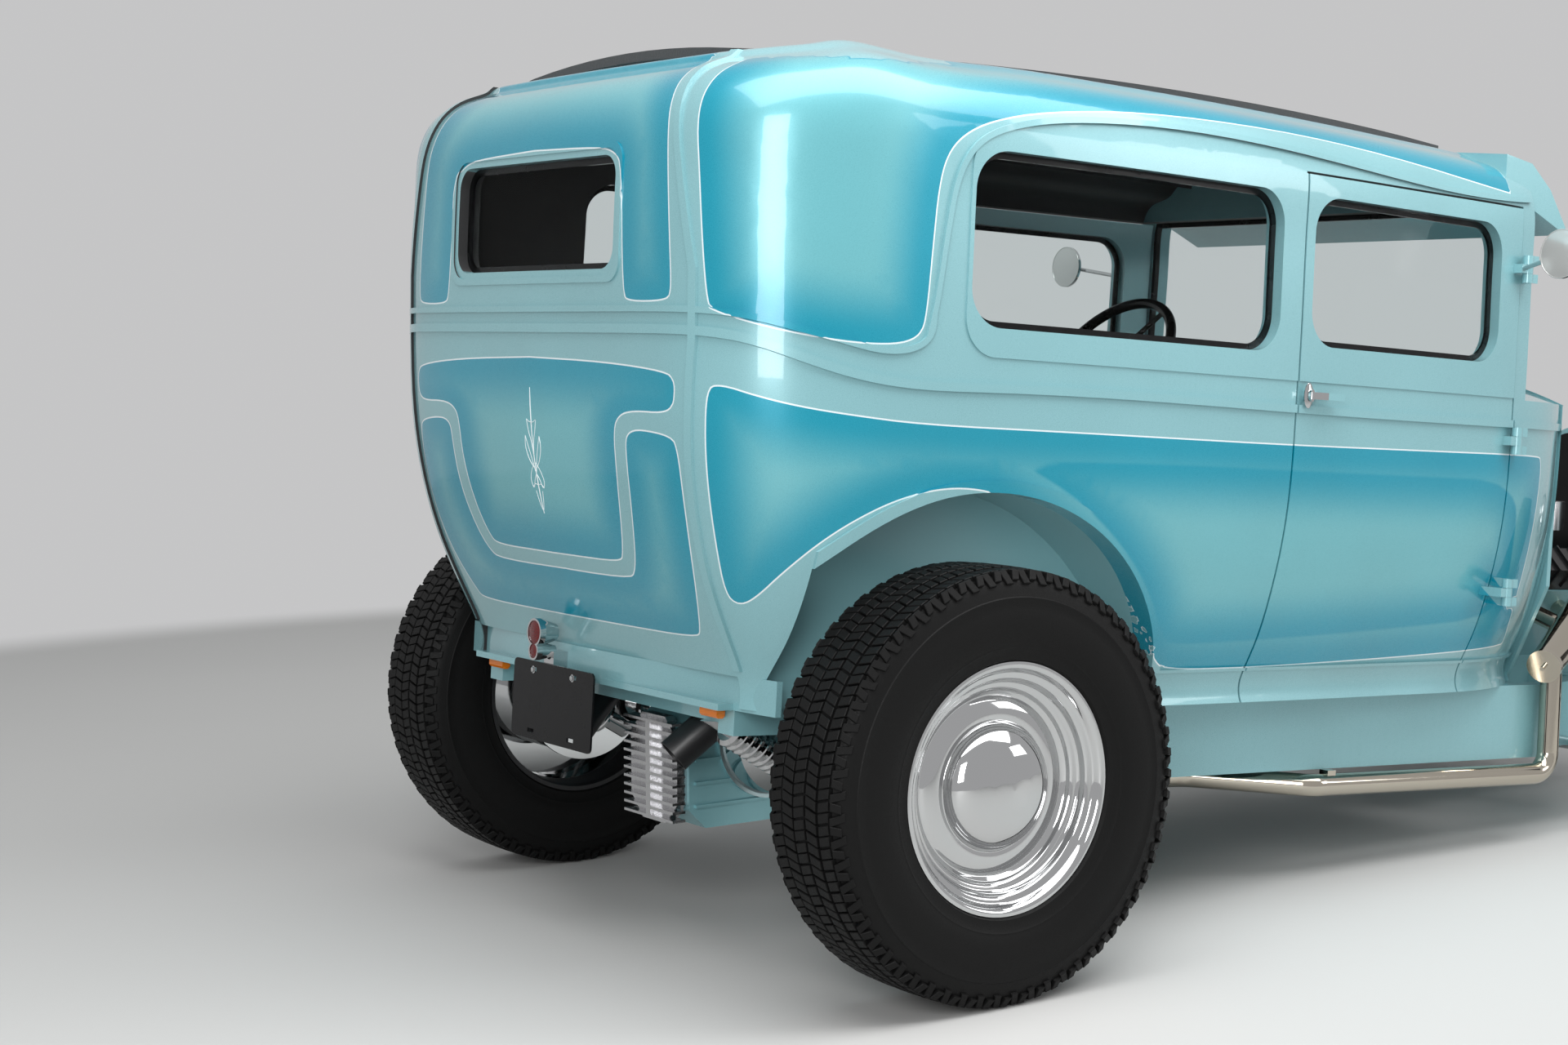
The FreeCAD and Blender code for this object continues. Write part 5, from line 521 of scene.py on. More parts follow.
def rounded_line(points, closed, cuts=CORNER_CUTS):
    """Cut the corners of a line of points again and again, which rounds them."""
    line = [np.array(point, float) for point in points]
    for _ in range(cuts):
        pairs = zip(line, line[1:] + line[:1]) if closed else zip(line, line[1:])
        cut = [] if closed else [line[0]]
        for start, end in pairs:
            cut += [start * 0.75 + end * 0.25, start * 0.25 + end * 0.75]
        line = cut if closed else cut + [line[-1]]
    return line + line[:1] if closed else line


def even_line(points, step):
    line = [points[0]]
    for start, end in zip(points, points[1:]):
        count = max(1, int(np.linalg.norm(end - start) / step))
        line += [start + (end - start) * (index + 1) / count for index in range(count)]
    return line


print("upper edge points", len(ROOF_EDGE_SIDE), "and", len(ROOF_EDGE_BACK))

# %% [markdown]
# A pixel is thrown onto the body along the ray that the camera sees it by, and lands on the
# first skin that the ray meets. Points that are already given on the body only move to the
# nearest skin.

# %% Throw pixels and body points onto the painted body
RIGHT_SIDE = ("quarter_panel_right", "rear_panel", "door_right", "cowl", "roof_surround")
trees = {name: BVHTree.FromBMesh(forms[name]) for name in RIGHT_SIDE}


def cast_pixel(pixel):
    across = (pixel[0] - IMAGE_WIDTH / 2) / FOCAL_PIXELS
    down = (pixel[1] - IMAGE_HEIGHT / 2) / FOCAL_PIXELS
    ray = (look + right * across - upward * down).normalized()
    hits = [tree.ray_cast(Vector(CAMERA_PLACE), ray) for tree in trees.values()]
    hits = [hit for hit in hits if hit[0] is not None]
    return min(hits, key=lambda hit: hit[3])[0] if hits else None


def nearest_point(place, names):
    found = [trees[name].find_nearest(place) for name in names]
    return min(found, key=lambda hit: hit[3])[0]


def thrown(pixels, closed):
    places = [cast_pixel(pixel) for pixel in even_line(rounded_line(pixels, closed), PIXEL_STEP)]
    return [place for place in places if place is not None]


def laid_on_body(points, names):
    """The nearest places on the body to an even run of points of the level frame."""
    places = [np.array(placed(ahead, -out, up)) for ahead, out, up in points]
    line = even_line(rounded_line(places, False), BODY_STEP)
    return [nearest_point(Vector(place), names) for place in line]


side_lower = thrown(SIDE_LOWER, True)
side_inner = thrown(SIDE_INNER, True)
side_upper_low = thrown(SIDE_UPPER_LOW, False)
back_t = thrown(BACK_T, False)
back_u = thrown(BACK_U, False)
back_upper = thrown(BACK_UPPER, False)
roof_edge = laid_on_body(ROOF_EDGE_SIDE, ("quarter_panel_right", "roof_surround"))
back_edge = laid_on_body(ROOF_EDGE_BACK, ("rear_panel",))
print("outline points", [len(line) for line in (side_lower, side_inner, side_upper_low,
                                                back_t, back_u, back_upper)])

# %% [markdown]
# To say whether a point is inside a panel, the body's skin is unrolled: along the side the
# unrolled place is x, round the rear corner it follows the arc, and across the back it is y.
# A point is inside when a line from it crosses the outline an odd number of times.

# %% Unroll the skin
CORNER_AHEAD = -0.250
CORNER_OUT = -0.430
CORNER_RADIUS = 0.260
CORNER_ARC = CORNER_RADIUS * math.pi / 2
TINY = 1e-12


def unrolled(points):
    level = levelled(points)
    out = -np.abs(level[:, 1])
    ahead = level[:, 0] - CORNER_AHEAD
    inward = out - CORNER_OUT
    arc = -CORNER_RADIUS * np.arctan2(-ahead, -inward)
    run = np.where(ahead >= 0, ahead, np.where(inward >= 0, -CORNER_ARC - inward, arc))
    return np.stack([run, level[:, 2]], axis=1)


def inside(flat, outline):
    crossed = np.zeros(len(flat), bool)
    for start, end in zip(outline, np.roll(outline, -1, axis=0)):
        between = (start[1] > flat[:, 1]) != (end[1] > flat[:, 1])
        slope = (end[0] - start[0]) / (end[1] - start[1] + TINY)
        crossed ^= between & (flat[:, 0] < start[0] + (flat[:, 1] - start[1]) * slope)
    return crossed


print("the rear corner unrolls to", round(CORNER_ARC, 3), "m")

# %% [markdown]
# How deep a point lies in a panel is its distance from the nearest stretch of outline, and
# the sign says whether it is inside. A tree of the outlines' points finds the nearest one
# fast. The car's left side is folded onto the right before it is measured.

# %% Measure how deep a point lies in a panel
PAST_MIDDLE = -(CORNER_ARC - CORNER_OUT) - 0.05
LINE_STEP = 0.003
FAR = 10.0


class Panels:
    """A set of outlines on the right side. One that isn't a loop closes past the middle."""

    def __init__(self, outlines):
        self.areas = []
        points, links = [], []
        for drawn, loop in outlines:
            line = [np.array(point) for point in drawn]
            line = even_line(line + line[:1] if loop else line, LINE_STEP)
            for index, point in enumerate(line):
                links.append((max(index - 1, 0) - index, min(index + 1, len(line) - 1) - index))
                points.append(point)
            area = unrolled(np.array([list(point) for point in drawn]))
            if not loop:
                ends = [(PAST_MIDDLE, area[-1, 1]), (PAST_MIDDLE, area[0, 1])]
                area = np.concatenate([area, ends])
            self.areas.append(area)
        self.points = np.array(points)
        self.links = np.array(links)
        self.tree = KDTree(len(points))
        for index, point in enumerate(points):
            self.tree.insert(Vector(point), index)
        self.tree.balance()

    def depth(self, places):
        folded = places.copy()
        folded[:, 1] = -np.abs(folded[:, 1])
        found = np.array([self.tree.find(Vector(place))[1] for place in folded])
        reach = np.full(len(folded), FAR)
        for side in (0, 1):
            start = self.points[found]
            run = self.points[found + self.links[found, side]] - start
            length = np.maximum((run * run).sum(1), TINY)
            share = np.clip(((folded - start) * run).sum(1) / length, 0, 1)
            gap = np.linalg.norm(folded - start - run * share[:, None], axis=1)
            reach = np.minimum(reach, gap)
        flat = unrolled(folded)
        within = np.zeros(len(folded), bool)
        for area in self.areas:
            within |= inside(flat, area)
        return np.where(within, reach, -reach)


panels = Panels([(side_lower, True), (side_upper_low + roof_edge, True), (back_t, False),
                 (back_u, False), (back_upper + back_edge, False)])
inner_panel = Panels([(side_inner, True)])
print("panel line points", len(panels.points))

# %% [markdown]
# Only the triangles near a line need to be small. Long edges there are halved again and
# again, so the white line stays crisp without a heavy mesh.

# %% Refine the copies near the lines, then store the depths
FINE_EDGE = 0.011
FIELD_EDGE = 0.045
FIELD_REACH = 0.30
INNER_EASE = 0.02
NEAR_SHARE = 0.6
REFINE_ROUNDS = 8


def refine(form):
    for _ in range(REFINE_ROUNDS):
        form.verts.index_update()
        places = np.array([vert.co for vert in form.verts])
        reach = np.minimum(np.abs(panels.depth(places)),
                           np.abs(inner_panel.depth(places)) + INNER_EASE)
        long_edges = []
        for edge in form.edges:
            start, end = edge.verts
            span = edge.calc_length()
            near = min(reach[start.index], reach[end.index])
            at_line = span > FINE_EDGE and near < span * NEAR_SHARE
            if at_line or (span > FIELD_EDGE and near < FIELD_REACH):
                long_edges.append(edge)
        if not long_edges:
            break
        bmesh.ops.subdivide_edges(form, edges=long_edges, cuts=1)
        bmesh.ops.triangulate(form, faces=[face for face in form.faces if len(face.verts) > 3])
    return form


print("edges near a line are cut to", FINE_EDGE, "m")

# %% [markdown]
# One mesh then carries four finishes: panelled paint outside, black cloth on the faces that
# look into the cabin, chrome on the door handle and plain paint on the hinges. Which face
# gets which is decided from where it lies and where it looks.

# %% Choose each face's finish
HANDLE_AHEAD = (0.765, 0.865)
HANDLE_UP = (1.070, 1.135)
HANDLE_OUT = 0.6790
SILL_HEIGHT = 1.150
LOOKS_IN = 0.45
CEILING_LOOK = -0.5
CEILING_UP = 1.5
CEILING_FRONT = 1.56
HINGE_AHEAD = (1.480, 1.585)
HINGE_HEIGHTS = (1.401, 1.037, 0.715)
HINGE_HALF = 0.032
HINGE_PROUD = 0.002


def between(values, span):
    return (values > span[0]) & (values < span[1])


def hinge_faces(level):
    """Faces in a hinge's box that stand proud of the skin just above and below it."""
    out = np.abs(level[:, 1])
    along = between(level[:, 0], HINGE_AHEAD)
    found = np.zeros(len(level), bool)
    for height in HINGE_HEIGHTS:
        gap = np.abs(level[:, 2] - height)
        skin = out[along & (gap > HINGE_HALF) & (gap < 2 * HINGE_HALF)]
        if len(skin):
            found |= along & (gap < HINGE_HALF) & (out > skin.max() + HINGE_PROUD)
    return found


def face_finish(node_name, centres, normals):
    """0: panelled paint, 1: cloth, 2: the chromed door handle, 3: plain paint on hinges."""
    level = levelled(centres)
    ahead, up = level[:, 0], level[:, 2]
    lean = normals[:, 1] * np.sign(level[:, 1])
    is_door, is_cowl = node_name.startswith("door"), node_name == "cowl"
    looks_in = (lean < -LOOKS_IN) | ((ahead < CORNER_AHEAD) & (normals[:, 0] > LOOKS_IN))
    if is_door:
        looks_in &= up < SILL_HEIGHT
    if is_cowl:
        looks_in &= False
    looks_in |= (normals[:, 2] < CEILING_LOOK) & (up > CEILING_UP) & (ahead < CEILING_FRONT)
    finish = np.where(looks_in, 1, 0)
    if is_door:
        on_handle = (between(ahead, HANDLE_AHEAD) & between(up, HANDLE_UP)
                     & (np.abs(level[:, 1]) > HANDLE_OUT))
        finish = np.where(on_handle, 2, finish)
    if is_door or is_cowl:
        finish = np.where(hinge_faces(level), 3, finish)
    return finish


print("cloth ends at the sill, at", SILL_HEIGHT, "m")

# %% [markdown]
# The copies now become the painted pieces. The doors are cut at the sill first, so that
# their trim ends in a straight line. Each piece keeps the solid's smooth shading, rides the
# body that its solid rides, and stands in for it.

# %% Make the painted pieces
def riding_piece(name, mesh, body):
    piece = bpy.data.objects.new(name, mesh)
    bpy.context.collection.objects.link(piece)
    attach(piece, body)
    return piece


def painted_piece(node_name, body):
    form = forms[node_name]
    if node_name.startswith("door"):
        bmesh.ops.bisect_plane(form, geom=form.verts[:] + form.edges[:] + form.faces[:],
                               dist=0.000001, plane_co=placed(0, 0, SILL_HEIGHT),
                               plane_no=TIP.to_3x3() @ Vector((0, 0, 1)))
        bmesh.ops.triangulate(form, faces=form.faces[:])
    refine(form)
    mesh = bpy.data.meshes.new("painted_" + node_name)
    form.to_mesh(mesh)
    form.free()
    places = vectors(mesh.vertices, "co")
    for name, group in (("panel_depth", panels), ("inner_depth", inner_panel)):
        layer = mesh.attributes.new(name, "FLOAT", "POINT")
        layer.data.foreach_set("value", group.depth(places).astype(np.float32))
    finish = face_finish(node_name, vectors(mesh.polygons, "center"),
                         vectors(mesh.polygons, "normal"))
    for material in (panel_paint, cloth, chrome, paint):
        mesh.materials.append(material)
    mesh.polygons.foreach_set("material_index", finish.astype(np.int32))
    shades = vectors(mesh.attributes["shade"].data, "vector", np.float32)
    shades /= np.maximum(np.linalg.norm(shades, axis=1, keepdims=True), 1e-9)
    mesh.attributes.remove(mesh.attributes["shade"])
    mesh.polygons.foreach_set("use_smooth", np.ones(len(mesh.polygons), bool))
    mesh.normals_split_custom_set(shades.tolist())
    piece = riding_piece("painted_" + node_name, mesh, body)
    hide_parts(node_name)
    return piece


for node_name, body in PAINTED_BODIES.items():
    piece = painted_piece(node_name, body)
    print(piece.name, len(piece.data.polygons), "faces")

# %% [markdown]
# Many fittings are turned on a lathe: wheels, lenses, mirrors, knobs, caps. One helper
# spins a profile of (radius, height) points about an axis and puts the result in its place.
# Sharp edges catch no light, so another helper eases them.

# %% Helpers for small pieces
def new_piece(name, form, material, body, smooth=40.0):
    mesh = bpy.data.meshes.new(name)
    form.to_mesh(mesh)
    form.free()
    mesh.materials.append(material)
    mesh.polygons.foreach_set("use_smooth", np.ones(len(mesh.polygons), bool))
    mesh.set_sharp_from_angle(angle=math.radians(smooth))
    return riding_piece(name, mesh, body)


def seat_matrix(place, axis):
    """A frame at a place whose z looks along the axis."""
    return Matrix.Translation(place) @ Vector(axis).to_track_quat("Z", "Y").to_matrix().to_4x4()


def add_part(form, part, matrix):
    """Put a part that was made on its own into a form, at its place."""
    bmesh.ops.transform(part, matrix=matrix, verts=part.verts[:])
    carrier = bpy.data.meshes.new("part")
    part.to_mesh(carrier)
    part.free()
    form.from_mesh(carrier)
    bpy.data.meshes.remove(carrier)


def ease_edges(form, edges, offset, segments=2):
    return bmesh.ops.bevel(form, geom=edges, offset=offset, affect="EDGES", segments=segments,
                           profile=0.5, material=-1)


def add_turned(form, profile, matrix, steps=32):
    part = bmesh.new()
    chain = [part.verts.new((radius, 0.0, height)) for radius, height in profile]
    edges = [part.edges.new(pair) for pair in zip(chain, chain[1:])]
    bmesh.ops.spin(part, geom=chain + edges, cent=(0, 0, 0), axis=(0, 0, 1),
                   angle=2 * math.pi, steps=steps, use_merge=True)
    bmesh.ops.remove_doubles(part, verts=part.verts[:], dist=0.000005)
    bmesh.ops.recalc_face_normals(part, faces=part.faces[:])
    add_part(form, part, matrix)


print("helpers for turned pieces ready")

# %% [markdown]
# A tyre's carcass is one turned profile: the bead, a bulging side with thin ridges, and a
# shoulder that rounds over to the tread. It is drawn as half a section and mirrored.

# %% A tyre's section
TREAD_DEPTH = 0.008
TYRE_STEPS = 120


def tyre_profile(radius, bead, width, tread):
    """Half section points from the bead to the tread, as (out, radius)."""
    high = radius - bead
    half = width / 2
    side = [(0.72, 0.0), (0.86, 0.06), (0.90, 0.075), (0.905, 0.10), (0.93, 0.18), (0.955, 0.205),
            (0.955, 0.225), (0.968, 0.24), (0.99, 0.36), (1.0, 0.45), (0.99, 0.58), (0.965, 0.68),
            (0.968, 0.685), (0.968, 0.705), (0.952, 0.715), (0.925, 0.78), (0.89, 0.86)]
    points = [(share * half, bead + rise * high) for share, rise in side]
    shoulder = radius - TREAD_DEPTH
    points += [(tread / 2 + 0.006, shoulder - 0.012), (tread / 2 - 0.004, shoulder - 0.003),
               (tread / 4, shoulder), (0.0, shoulder + 0.001)]
    return points


def add_carcass(form, radius, bead, width, tread):
    half = tyre_profile(radius, bead, width, tread)
    section = half + [(-out, rise) for out, rise in half[-2::-1]]
    inner = [(-width * 0.30, bead + 0.004), (-width * 0.42, bead + 0.05),
             (-width * 0.36, radius - 0.035), (width * 0.36, radius - 0.035),
             (width * 0.42, bead + 0.05), (width * 0.30, bead + 0.004)]
    chain = [form.verts.new((0.0, out, rise)) for out, rise in section + inner]
    edges = [form.edges.new(pair) for pair in zip(chain, chain[1:] + chain[:1])]
    bmesh.ops.spin(form, geom=chain + edges, cent=(0, 0, 0), axis=(0, 1, 0),
                   angle=2 * math.pi, steps=TYRE_STEPS, use_merge=True)
    bmesh.ops.remove_doubles(form, verts=form.verts[:], dist=0.00001)
    bmesh.ops.recalc_face_normals(form, faces=form.faces[:])


print("a carcass is turned in", TYRE_STEPS, "steps")

# %% [markdown]
# The tread is blocks that stand on the carcass. They are real geometry, because a bump
# wouldn't show at the tyre's edge. One pitch of it, five rows of blocks across and a pair of
# lugs on each shoulder, is made once. Each block is turned about the axle to its place.

# %% One pitch of the tread
PITCHES = 60
ROWS = 5
BLOCK_CLEAR = 0.0006
BLOCK_ROOT = 0.004
BLOCK_EASE = 0.0011
BLOCK_LONG = 0.41
BLOCK_WIDE = 0.84
BLOCK_APART = 0.235
BLOCK_SKEW = 0.25
CROWN_DROP = 0.003
LUGS = ((-1, 0.026), (1, 0.019))
LUG_LONG = 0.36
LUG_DEEP = 0.007
LUG_APART = 0.25
LUG_OUT = 0.006
LUG_DROP = 0.0035
LUG_SKEW = 0.3
LUG_TILT = 1.05


def add_block(form, ahead, out, height, size, skew, tilt=0.0):
    """One tread block: a slab with eased edges, skewed in plan and tilted at a shoulder."""
    long, wide, deep = size
    made = bmesh.ops.create_cube(form, size=1.0)["verts"]
    bmesh.ops.scale(form, vec=(long, wide, deep), verts=made)
    edges = dict.fromkeys(edge for vert in made for edge in vert.link_edges)
    top = [edge for edge in edges if all(vert.co.z > 0 for vert in edge.verts)]
    eased = ease_edges(form, top, BLOCK_EASE, 1)
    made = list({v for v in made if v.is_valid} | set(eased["verts"]))
    slant = Matrix(((1, skew, 0, 0), (0, 1, 0, 0), (0, 0, 1, 0), (0, 0, 0, 1)))
    round_wheel = Matrix.Rotation(ahead / height, 4, "Y")
    out_there = Matrix.Translation((0, out, height - deep / 2))
    bmesh.ops.transform(form, verts=made, matrix=round_wheel @ out_there
                        @ Matrix.Rotation(tilt, 4, "X") @ slant)


def add_pitch(form, radius, tread):
    pitch = 2 * math.pi * radius / PITCHES
    row_width = tread / ROWS
    block = (pitch * BLOCK_LONG, row_width * BLOCK_WIDE, TREAD_DEPTH + BLOCK_ROOT)
    for row in range(ROWS):
        out = (row - (ROWS - 1) / 2) * row_width
        drop = CROWN_DROP * (2 * out / tread) ** 2
        shift = (row % 2) * pitch / 2
        skew = BLOCK_SKEW if row % 2 else -BLOCK_SKEW
        for part in (-1, 1):
            add_block(form, shift + part * pitch * BLOCK_APART, out,
                      radius - drop - BLOCK_CLEAR, block, skew)
    for side in (-1, 1):
        for part, reach in LUGS:
            add_block(form, part * pitch * LUG_APART, side * (tread / 2 + LUG_OUT),
                      radius - LUG_DROP - reach / 2 + BLOCK_ROOT,
                      (pitch * LUG_LONG, reach, LUG_DEEP), LUG_SKEW * part, -side * LUG_TILT)


print("one pitch has", 2 * ROWS, "blocks and", 2 * len(LUGS), "lugs")

# %% [markdown]
# The pitch is spun round the carcass in 60 copies, as a mould maker divides the ring. The
# rear tyres are larger than the front ones, so each end has its own centre and sizes.

# %% Tyres
def make_tyre(name, centre, sizes, body):
    radius, bead, width, tread = sizes
    form = bmesh.new()
    add_carcass(form, radius, bead, width, tread)
    carcass = set(form.verts)
    add_pitch(form, radius, tread)
    blocks = [vert for vert in form.verts if vert not in carcass]
    block_edges = dict.fromkeys(edge for vert in blocks for edge in vert.link_edges)
    block_faces = dict.fromkeys(face for vert in blocks for face in vert.link_faces)
    bmesh.ops.spin(form, geom=blocks + [*block_edges] + [*block_faces], cent=(0, 0, 0),
                   axis=(0, 1, 0), use_duplicate=True,
                   angle=2 * math.pi * (PITCHES - 1) / PITCHES, steps=PITCHES - 1)
    bmesh.ops.translate(form, vec=centre, verts=form.verts[:])
    piece = new_piece("treaded_" + name, form, rubber, body, 30.0)
    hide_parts(name)
    return piece


WHEEL_CENTRES = {"rear": (-1.275, 0.730, 0.384), "front": (1.425, 0.702, 0.328)}
TYRE_SIZES = {"rear": (0.384, 0.214, 0.210, 0.168), "front": (0.328, 0.200, 0.166, 0.124)}
for side, sign in SIDES:
    for end, (ahead, out, up) in WHEEL_CENTRES.items():
        tyre = make_tyre(end + "_tyre_" + side, (ahead, sign * out, up), TYRE_SIZES[end],
                         end + "_wheel_" + side)
        print(tyre.name, len(tyre.data.polygons), "faces")

# %% [markdown]
# Each wheel is one turned form: a plain domed cap, a shallow ring round it, the steps of the
# trim ring, the rolled lip and the barrel behind. It is made again here from a profile with
# rounded corners, because chrome shows every facet of a coarser mesh.

# %% Wheels
REAR_FACE = [(0, 105), (17, 104), (35, 102), (47, 99), (60, 96), (72, 92), (82, 87), (91, 81),
             (101, 73), (109, 62), (113, 53), (115, 48), (119, 49), (127, 50), (138, 48),
             (149, 44), (156, 39), (159, 37), (163, 40), (168, 44), (171, 51), (176, 55),
             (182, 55), (187, 62), (190, 71), (195, 74), (202, 75), (206, 82), (210, 88),
             (216, 91), (222, 90)]
REAR_BACK = [(223, 85), (214, 77), (213, -77), (223, -85), (223, -91), (214, -91), (211, -83),
             (209, -76), (203, -8), (202, 15), (140, 15), (140, -68), (67, -68), (67, 8),
             (20, 8), (20, 24), (0, 24)]
FRONT_FACE = [(0, 94), (17, 93), (35, 91), (44, 89), (53, 87), (63, 84), (72, 81), (82, 76),
              (91, 70), (101, 62), (106, 54), (109, 46), (112, 42), (116, 41), (123, 40),
              (133, 38), (141, 34), (147, 31), (152, 33), (157, 37), (160, 42), (166, 44),
              (171, 46), (176, 51), (180, 57), (186, 59), (190, 63), (194, 69), (199, 72),
              (207, 72)]
FRONT_BACK = [(209, 67), (200, 61), (199, -61), (209, -67), (209, -72), (200, -72),
              (197, -66), (194, -60), (189, -6), (188, 12), (140, 12), (140, -54), (67, -54),
              (67, 6.5), (20.5, 6.5), (20.5, 24.5), (0, 24.5)]


WHEEL_STEPS = 128


def make_wheel(name, centre, sign, face, back, finish):
    """A wheel turned from a profile in millimetres, whose face has rounded corners."""
    profile = [(radius / 1000, out / 1000) for radius, out in rounded_line(face, False) + back]
    form = bmesh.new()
    add_turned(form, profile, seat_matrix(centre, (0, sign, 0)), WHEEL_STEPS)
    piece = new_piece("turned_" + name, form, finish, name, 30.0)
    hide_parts(name)
    return piece


WHEEL_SHAPES = {"rear": (REAR_FACE, REAR_BACK, rear_wheel_finish),
                "front": (FRONT_FACE, FRONT_BACK, front_wheel_finish)}
for side, sign in SIDES:
    for end, (ahead, out, up) in WHEEL_CENTRES.items():
        wheel = make_wheel(end + "_wheel_" + side, (ahead, sign * out, up), sign,
                           *WHEEL_SHAPES[end])
        print(wheel.name, len(wheel.data.polygons), "faces")

# %% [markdown]
# A black rubber channel holds each pane. The rim of the pane's own solid shows where it
# runs: those of its faces that look along the pane. They are copied and given thickness, so
# the channel follows the glass exactly.

# %% Window channels
CHANNEL_THICK = 0.012
FLAT_LOOK = 0.6


def islands(form):
    """The form's faces in groups that hang together."""
    seen = set()
    for face in form.faces:
        if face in seen:
            continue
        island, stack = [], [face]
        seen.add(face)
        while stack:
            current = stack.pop()
            island.append(current)
            for other in (face for edge in current.edges for face in edge.link_faces):
                if other not in seen:
                    seen.add(other)
                    stack.append(other)
        yield island


def make_channel(name, node_name, body):
    form = copied_form(node_name)
    flat = []
    for pane in islands(form):
        widest = max(pane, key=lambda face: face.calc_area()).normal
        mean = Vector((0, 0, 0))
        for face in pane:
            mean += face.normal * math.copysign(face.calc_area(), face.normal.dot(widest))
        mean.normalize()
        flat += [face for face in pane if abs(face.normal.dot(mean)) > FLAT_LOOK]
    bmesh.ops.delete(form, geom=flat, context="FACES")
    bmesh.ops.recalc_face_normals(form, faces=form.faces[:])
    bmesh.ops.solidify(form, geom=form.faces[:], thickness=CHANNEL_THICK)
    bmesh.ops.recalc_face_normals(form, faces=form.faces[:])
    return new_piece(name, form, black, body, 40.0)


for name, node_name, body in (("fixed_channels", "fixed_glass", "chassis"),
                              ("windshield_channel", "windshield", "chassis"),
                              ("door_channel_left", "door_glass_left", "door_left"),
                              ("door_channel_right", "door_glass_right", "door_right")):
    channel = make_channel(name, node_name, body)
    print(channel.name, len(channel.data.polygons), "faces")

# %% [markdown]
# The back carries a small hand-pulled ornament in white: a spine with pairs of strokes that
# mirror each other. The strokes are drawn here on the right half only, as (out, up) points.

# %% Strokes of the ornament on the back
ORNAMENT_STROKES = [
    [(0.000, 1.034), (0.001, 1.002), (0.000, 0.922), (0.001, 0.852), (0.000, 0.800)],
    [(0.017, 0.974), (0.012, 0.952), (0.004, 0.934), (0.000, 0.907)],
    [(0.000, 0.969), (0.008, 0.970), (0.017, 0.975)],
    [(0.026, 0.944), (0.030, 0.922), (0.018, 0.897), (0.004, 0.884)],
    [(0.026, 0.944), (0.017, 0.922), (0.009, 0.902), (0.002, 0.878)],
    [(0.003, 0.894), (0.019, 0.877), (0.026, 0.859), (0.017, 0.844), (0.010, 0.862),
     (0.002, 0.872)],
    [(0.000, 0.852), (0.010, 0.856), (0.021, 0.848)],
    [(0.012, 0.842), (0.008, 0.822), (0.002, 0.807)],
]
stripe = grained("stripe_white", (0.78, 0.84, 0.85), 0.0, (300.0, 0.25, 0.40),
                 sockets={"Coat Weight": 1.0})
print(stripe.name, len(ORNAMENT_STROKES), "strokes")

# %% [markdown]
# Paint pulled with a fine brush stands a little proud of the panel. So each stroke is a
# smooth curve with a fine round section, made a mesh, and each of its points is first laid
# on the painted skin, which the stroke then follows.

# %% Pinstriped ornament on the back
STROKE_RADIUS = 0.0007
STROKE_STEP = 0.004
STROKE_CUTS = 3
BEHIND_BACK = -0.8
rear_mesh = bpy.data.objects["painted_rear_panel"].data
rear_skin = BVHTree.FromPolygons([vert.co for vert in rear_mesh.vertices],
                                 [list(face.vertices) for face in rear_mesh.polygons])


def back_skin(out, up):
    start = placed(BEHIND_BACK, out, up)
    ahead = (placed(BEHIND_BACK + 1.0, out, up) - start).normalized()
    return rear_skin.ray_cast(start, ahead)[0]


def stroke_mesh(points):
    curve = bpy.data.curves.new("stroke", "CURVE")
    curve.dimensions = "3D"
    curve.bevel_depth = STROKE_RADIUS
    curve.bevel_resolution = 1
    run = even_line(rounded_line(points, False, STROKE_CUTS), STROKE_STEP)
    laid = [back_skin(out, up) for out, up in run]
    line = curve.splines.new("POLY")
    line.points.add(len(laid) - 1)
    for spot, place in zip(line.points, laid):
        spot.co = (*place, 1.0)
    holder = bpy.data.objects.new("stroke", curve)
    bpy.context.collection.objects.link(holder)
    mesh = bpy.data.meshes.new_from_object(holder)
    bpy.data.objects.remove(holder)
    return mesh


ornament_form = bmesh.new()
for points in ORNAMENT_STROKES:
    for side in (1, -1):
        ornament_form.from_mesh(stroke_mesh([(side * out, up) for out, up in points]))
ornament = new_piece("back_ornament", ornament_form, stripe, "chassis")
print(ornament.name, len(ornament.data.polygons), "faces")

# %% [markdown]
# The seats are benches trimmed in black leather: a cushion and a back, each a padded form
# over a hard base. A padded form starts as a rounded block a little smaller than the seat.
# It is remeshed evenly and swollen by cloth simulation under inner pressure, with a limit
# on how far any point may move. Foam under leather crowns in just this way, which no bevel
# of a block gives.

# %% Swell a block into a padded form
SEAT_VOXEL = 0.010
SEAT_SWELL = 0.022
CLOTH_FRAMES = 20
SEAT_PRESSURE = 4.0


def eased_block(low, high, ease, segments=3):
    form = bmesh.new()
    bmesh.ops.create_cube(form, size=1.0)
    size = [top - bottom for bottom, top in zip(low, high)]
    bmesh.ops.scale(form, vec=size, verts=form.verts[:])
    bmesh.ops.translate(form, vec=[(top + bottom) / 2 for bottom, top in zip(low, high)],
                        verts=form.verts[:])
    ease_edges(form, form.edges[:], ease, segments)
    return form


def settled_mesh(piece):
    """The piece's mesh with its modifiers applied."""
    graph = bpy.context.evaluated_depsgraph_get()
    mesh = bpy.data.meshes.new_from_object(piece.evaluated_get(graph))
    piece.modifiers.clear()
    piece.data = mesh
    return mesh


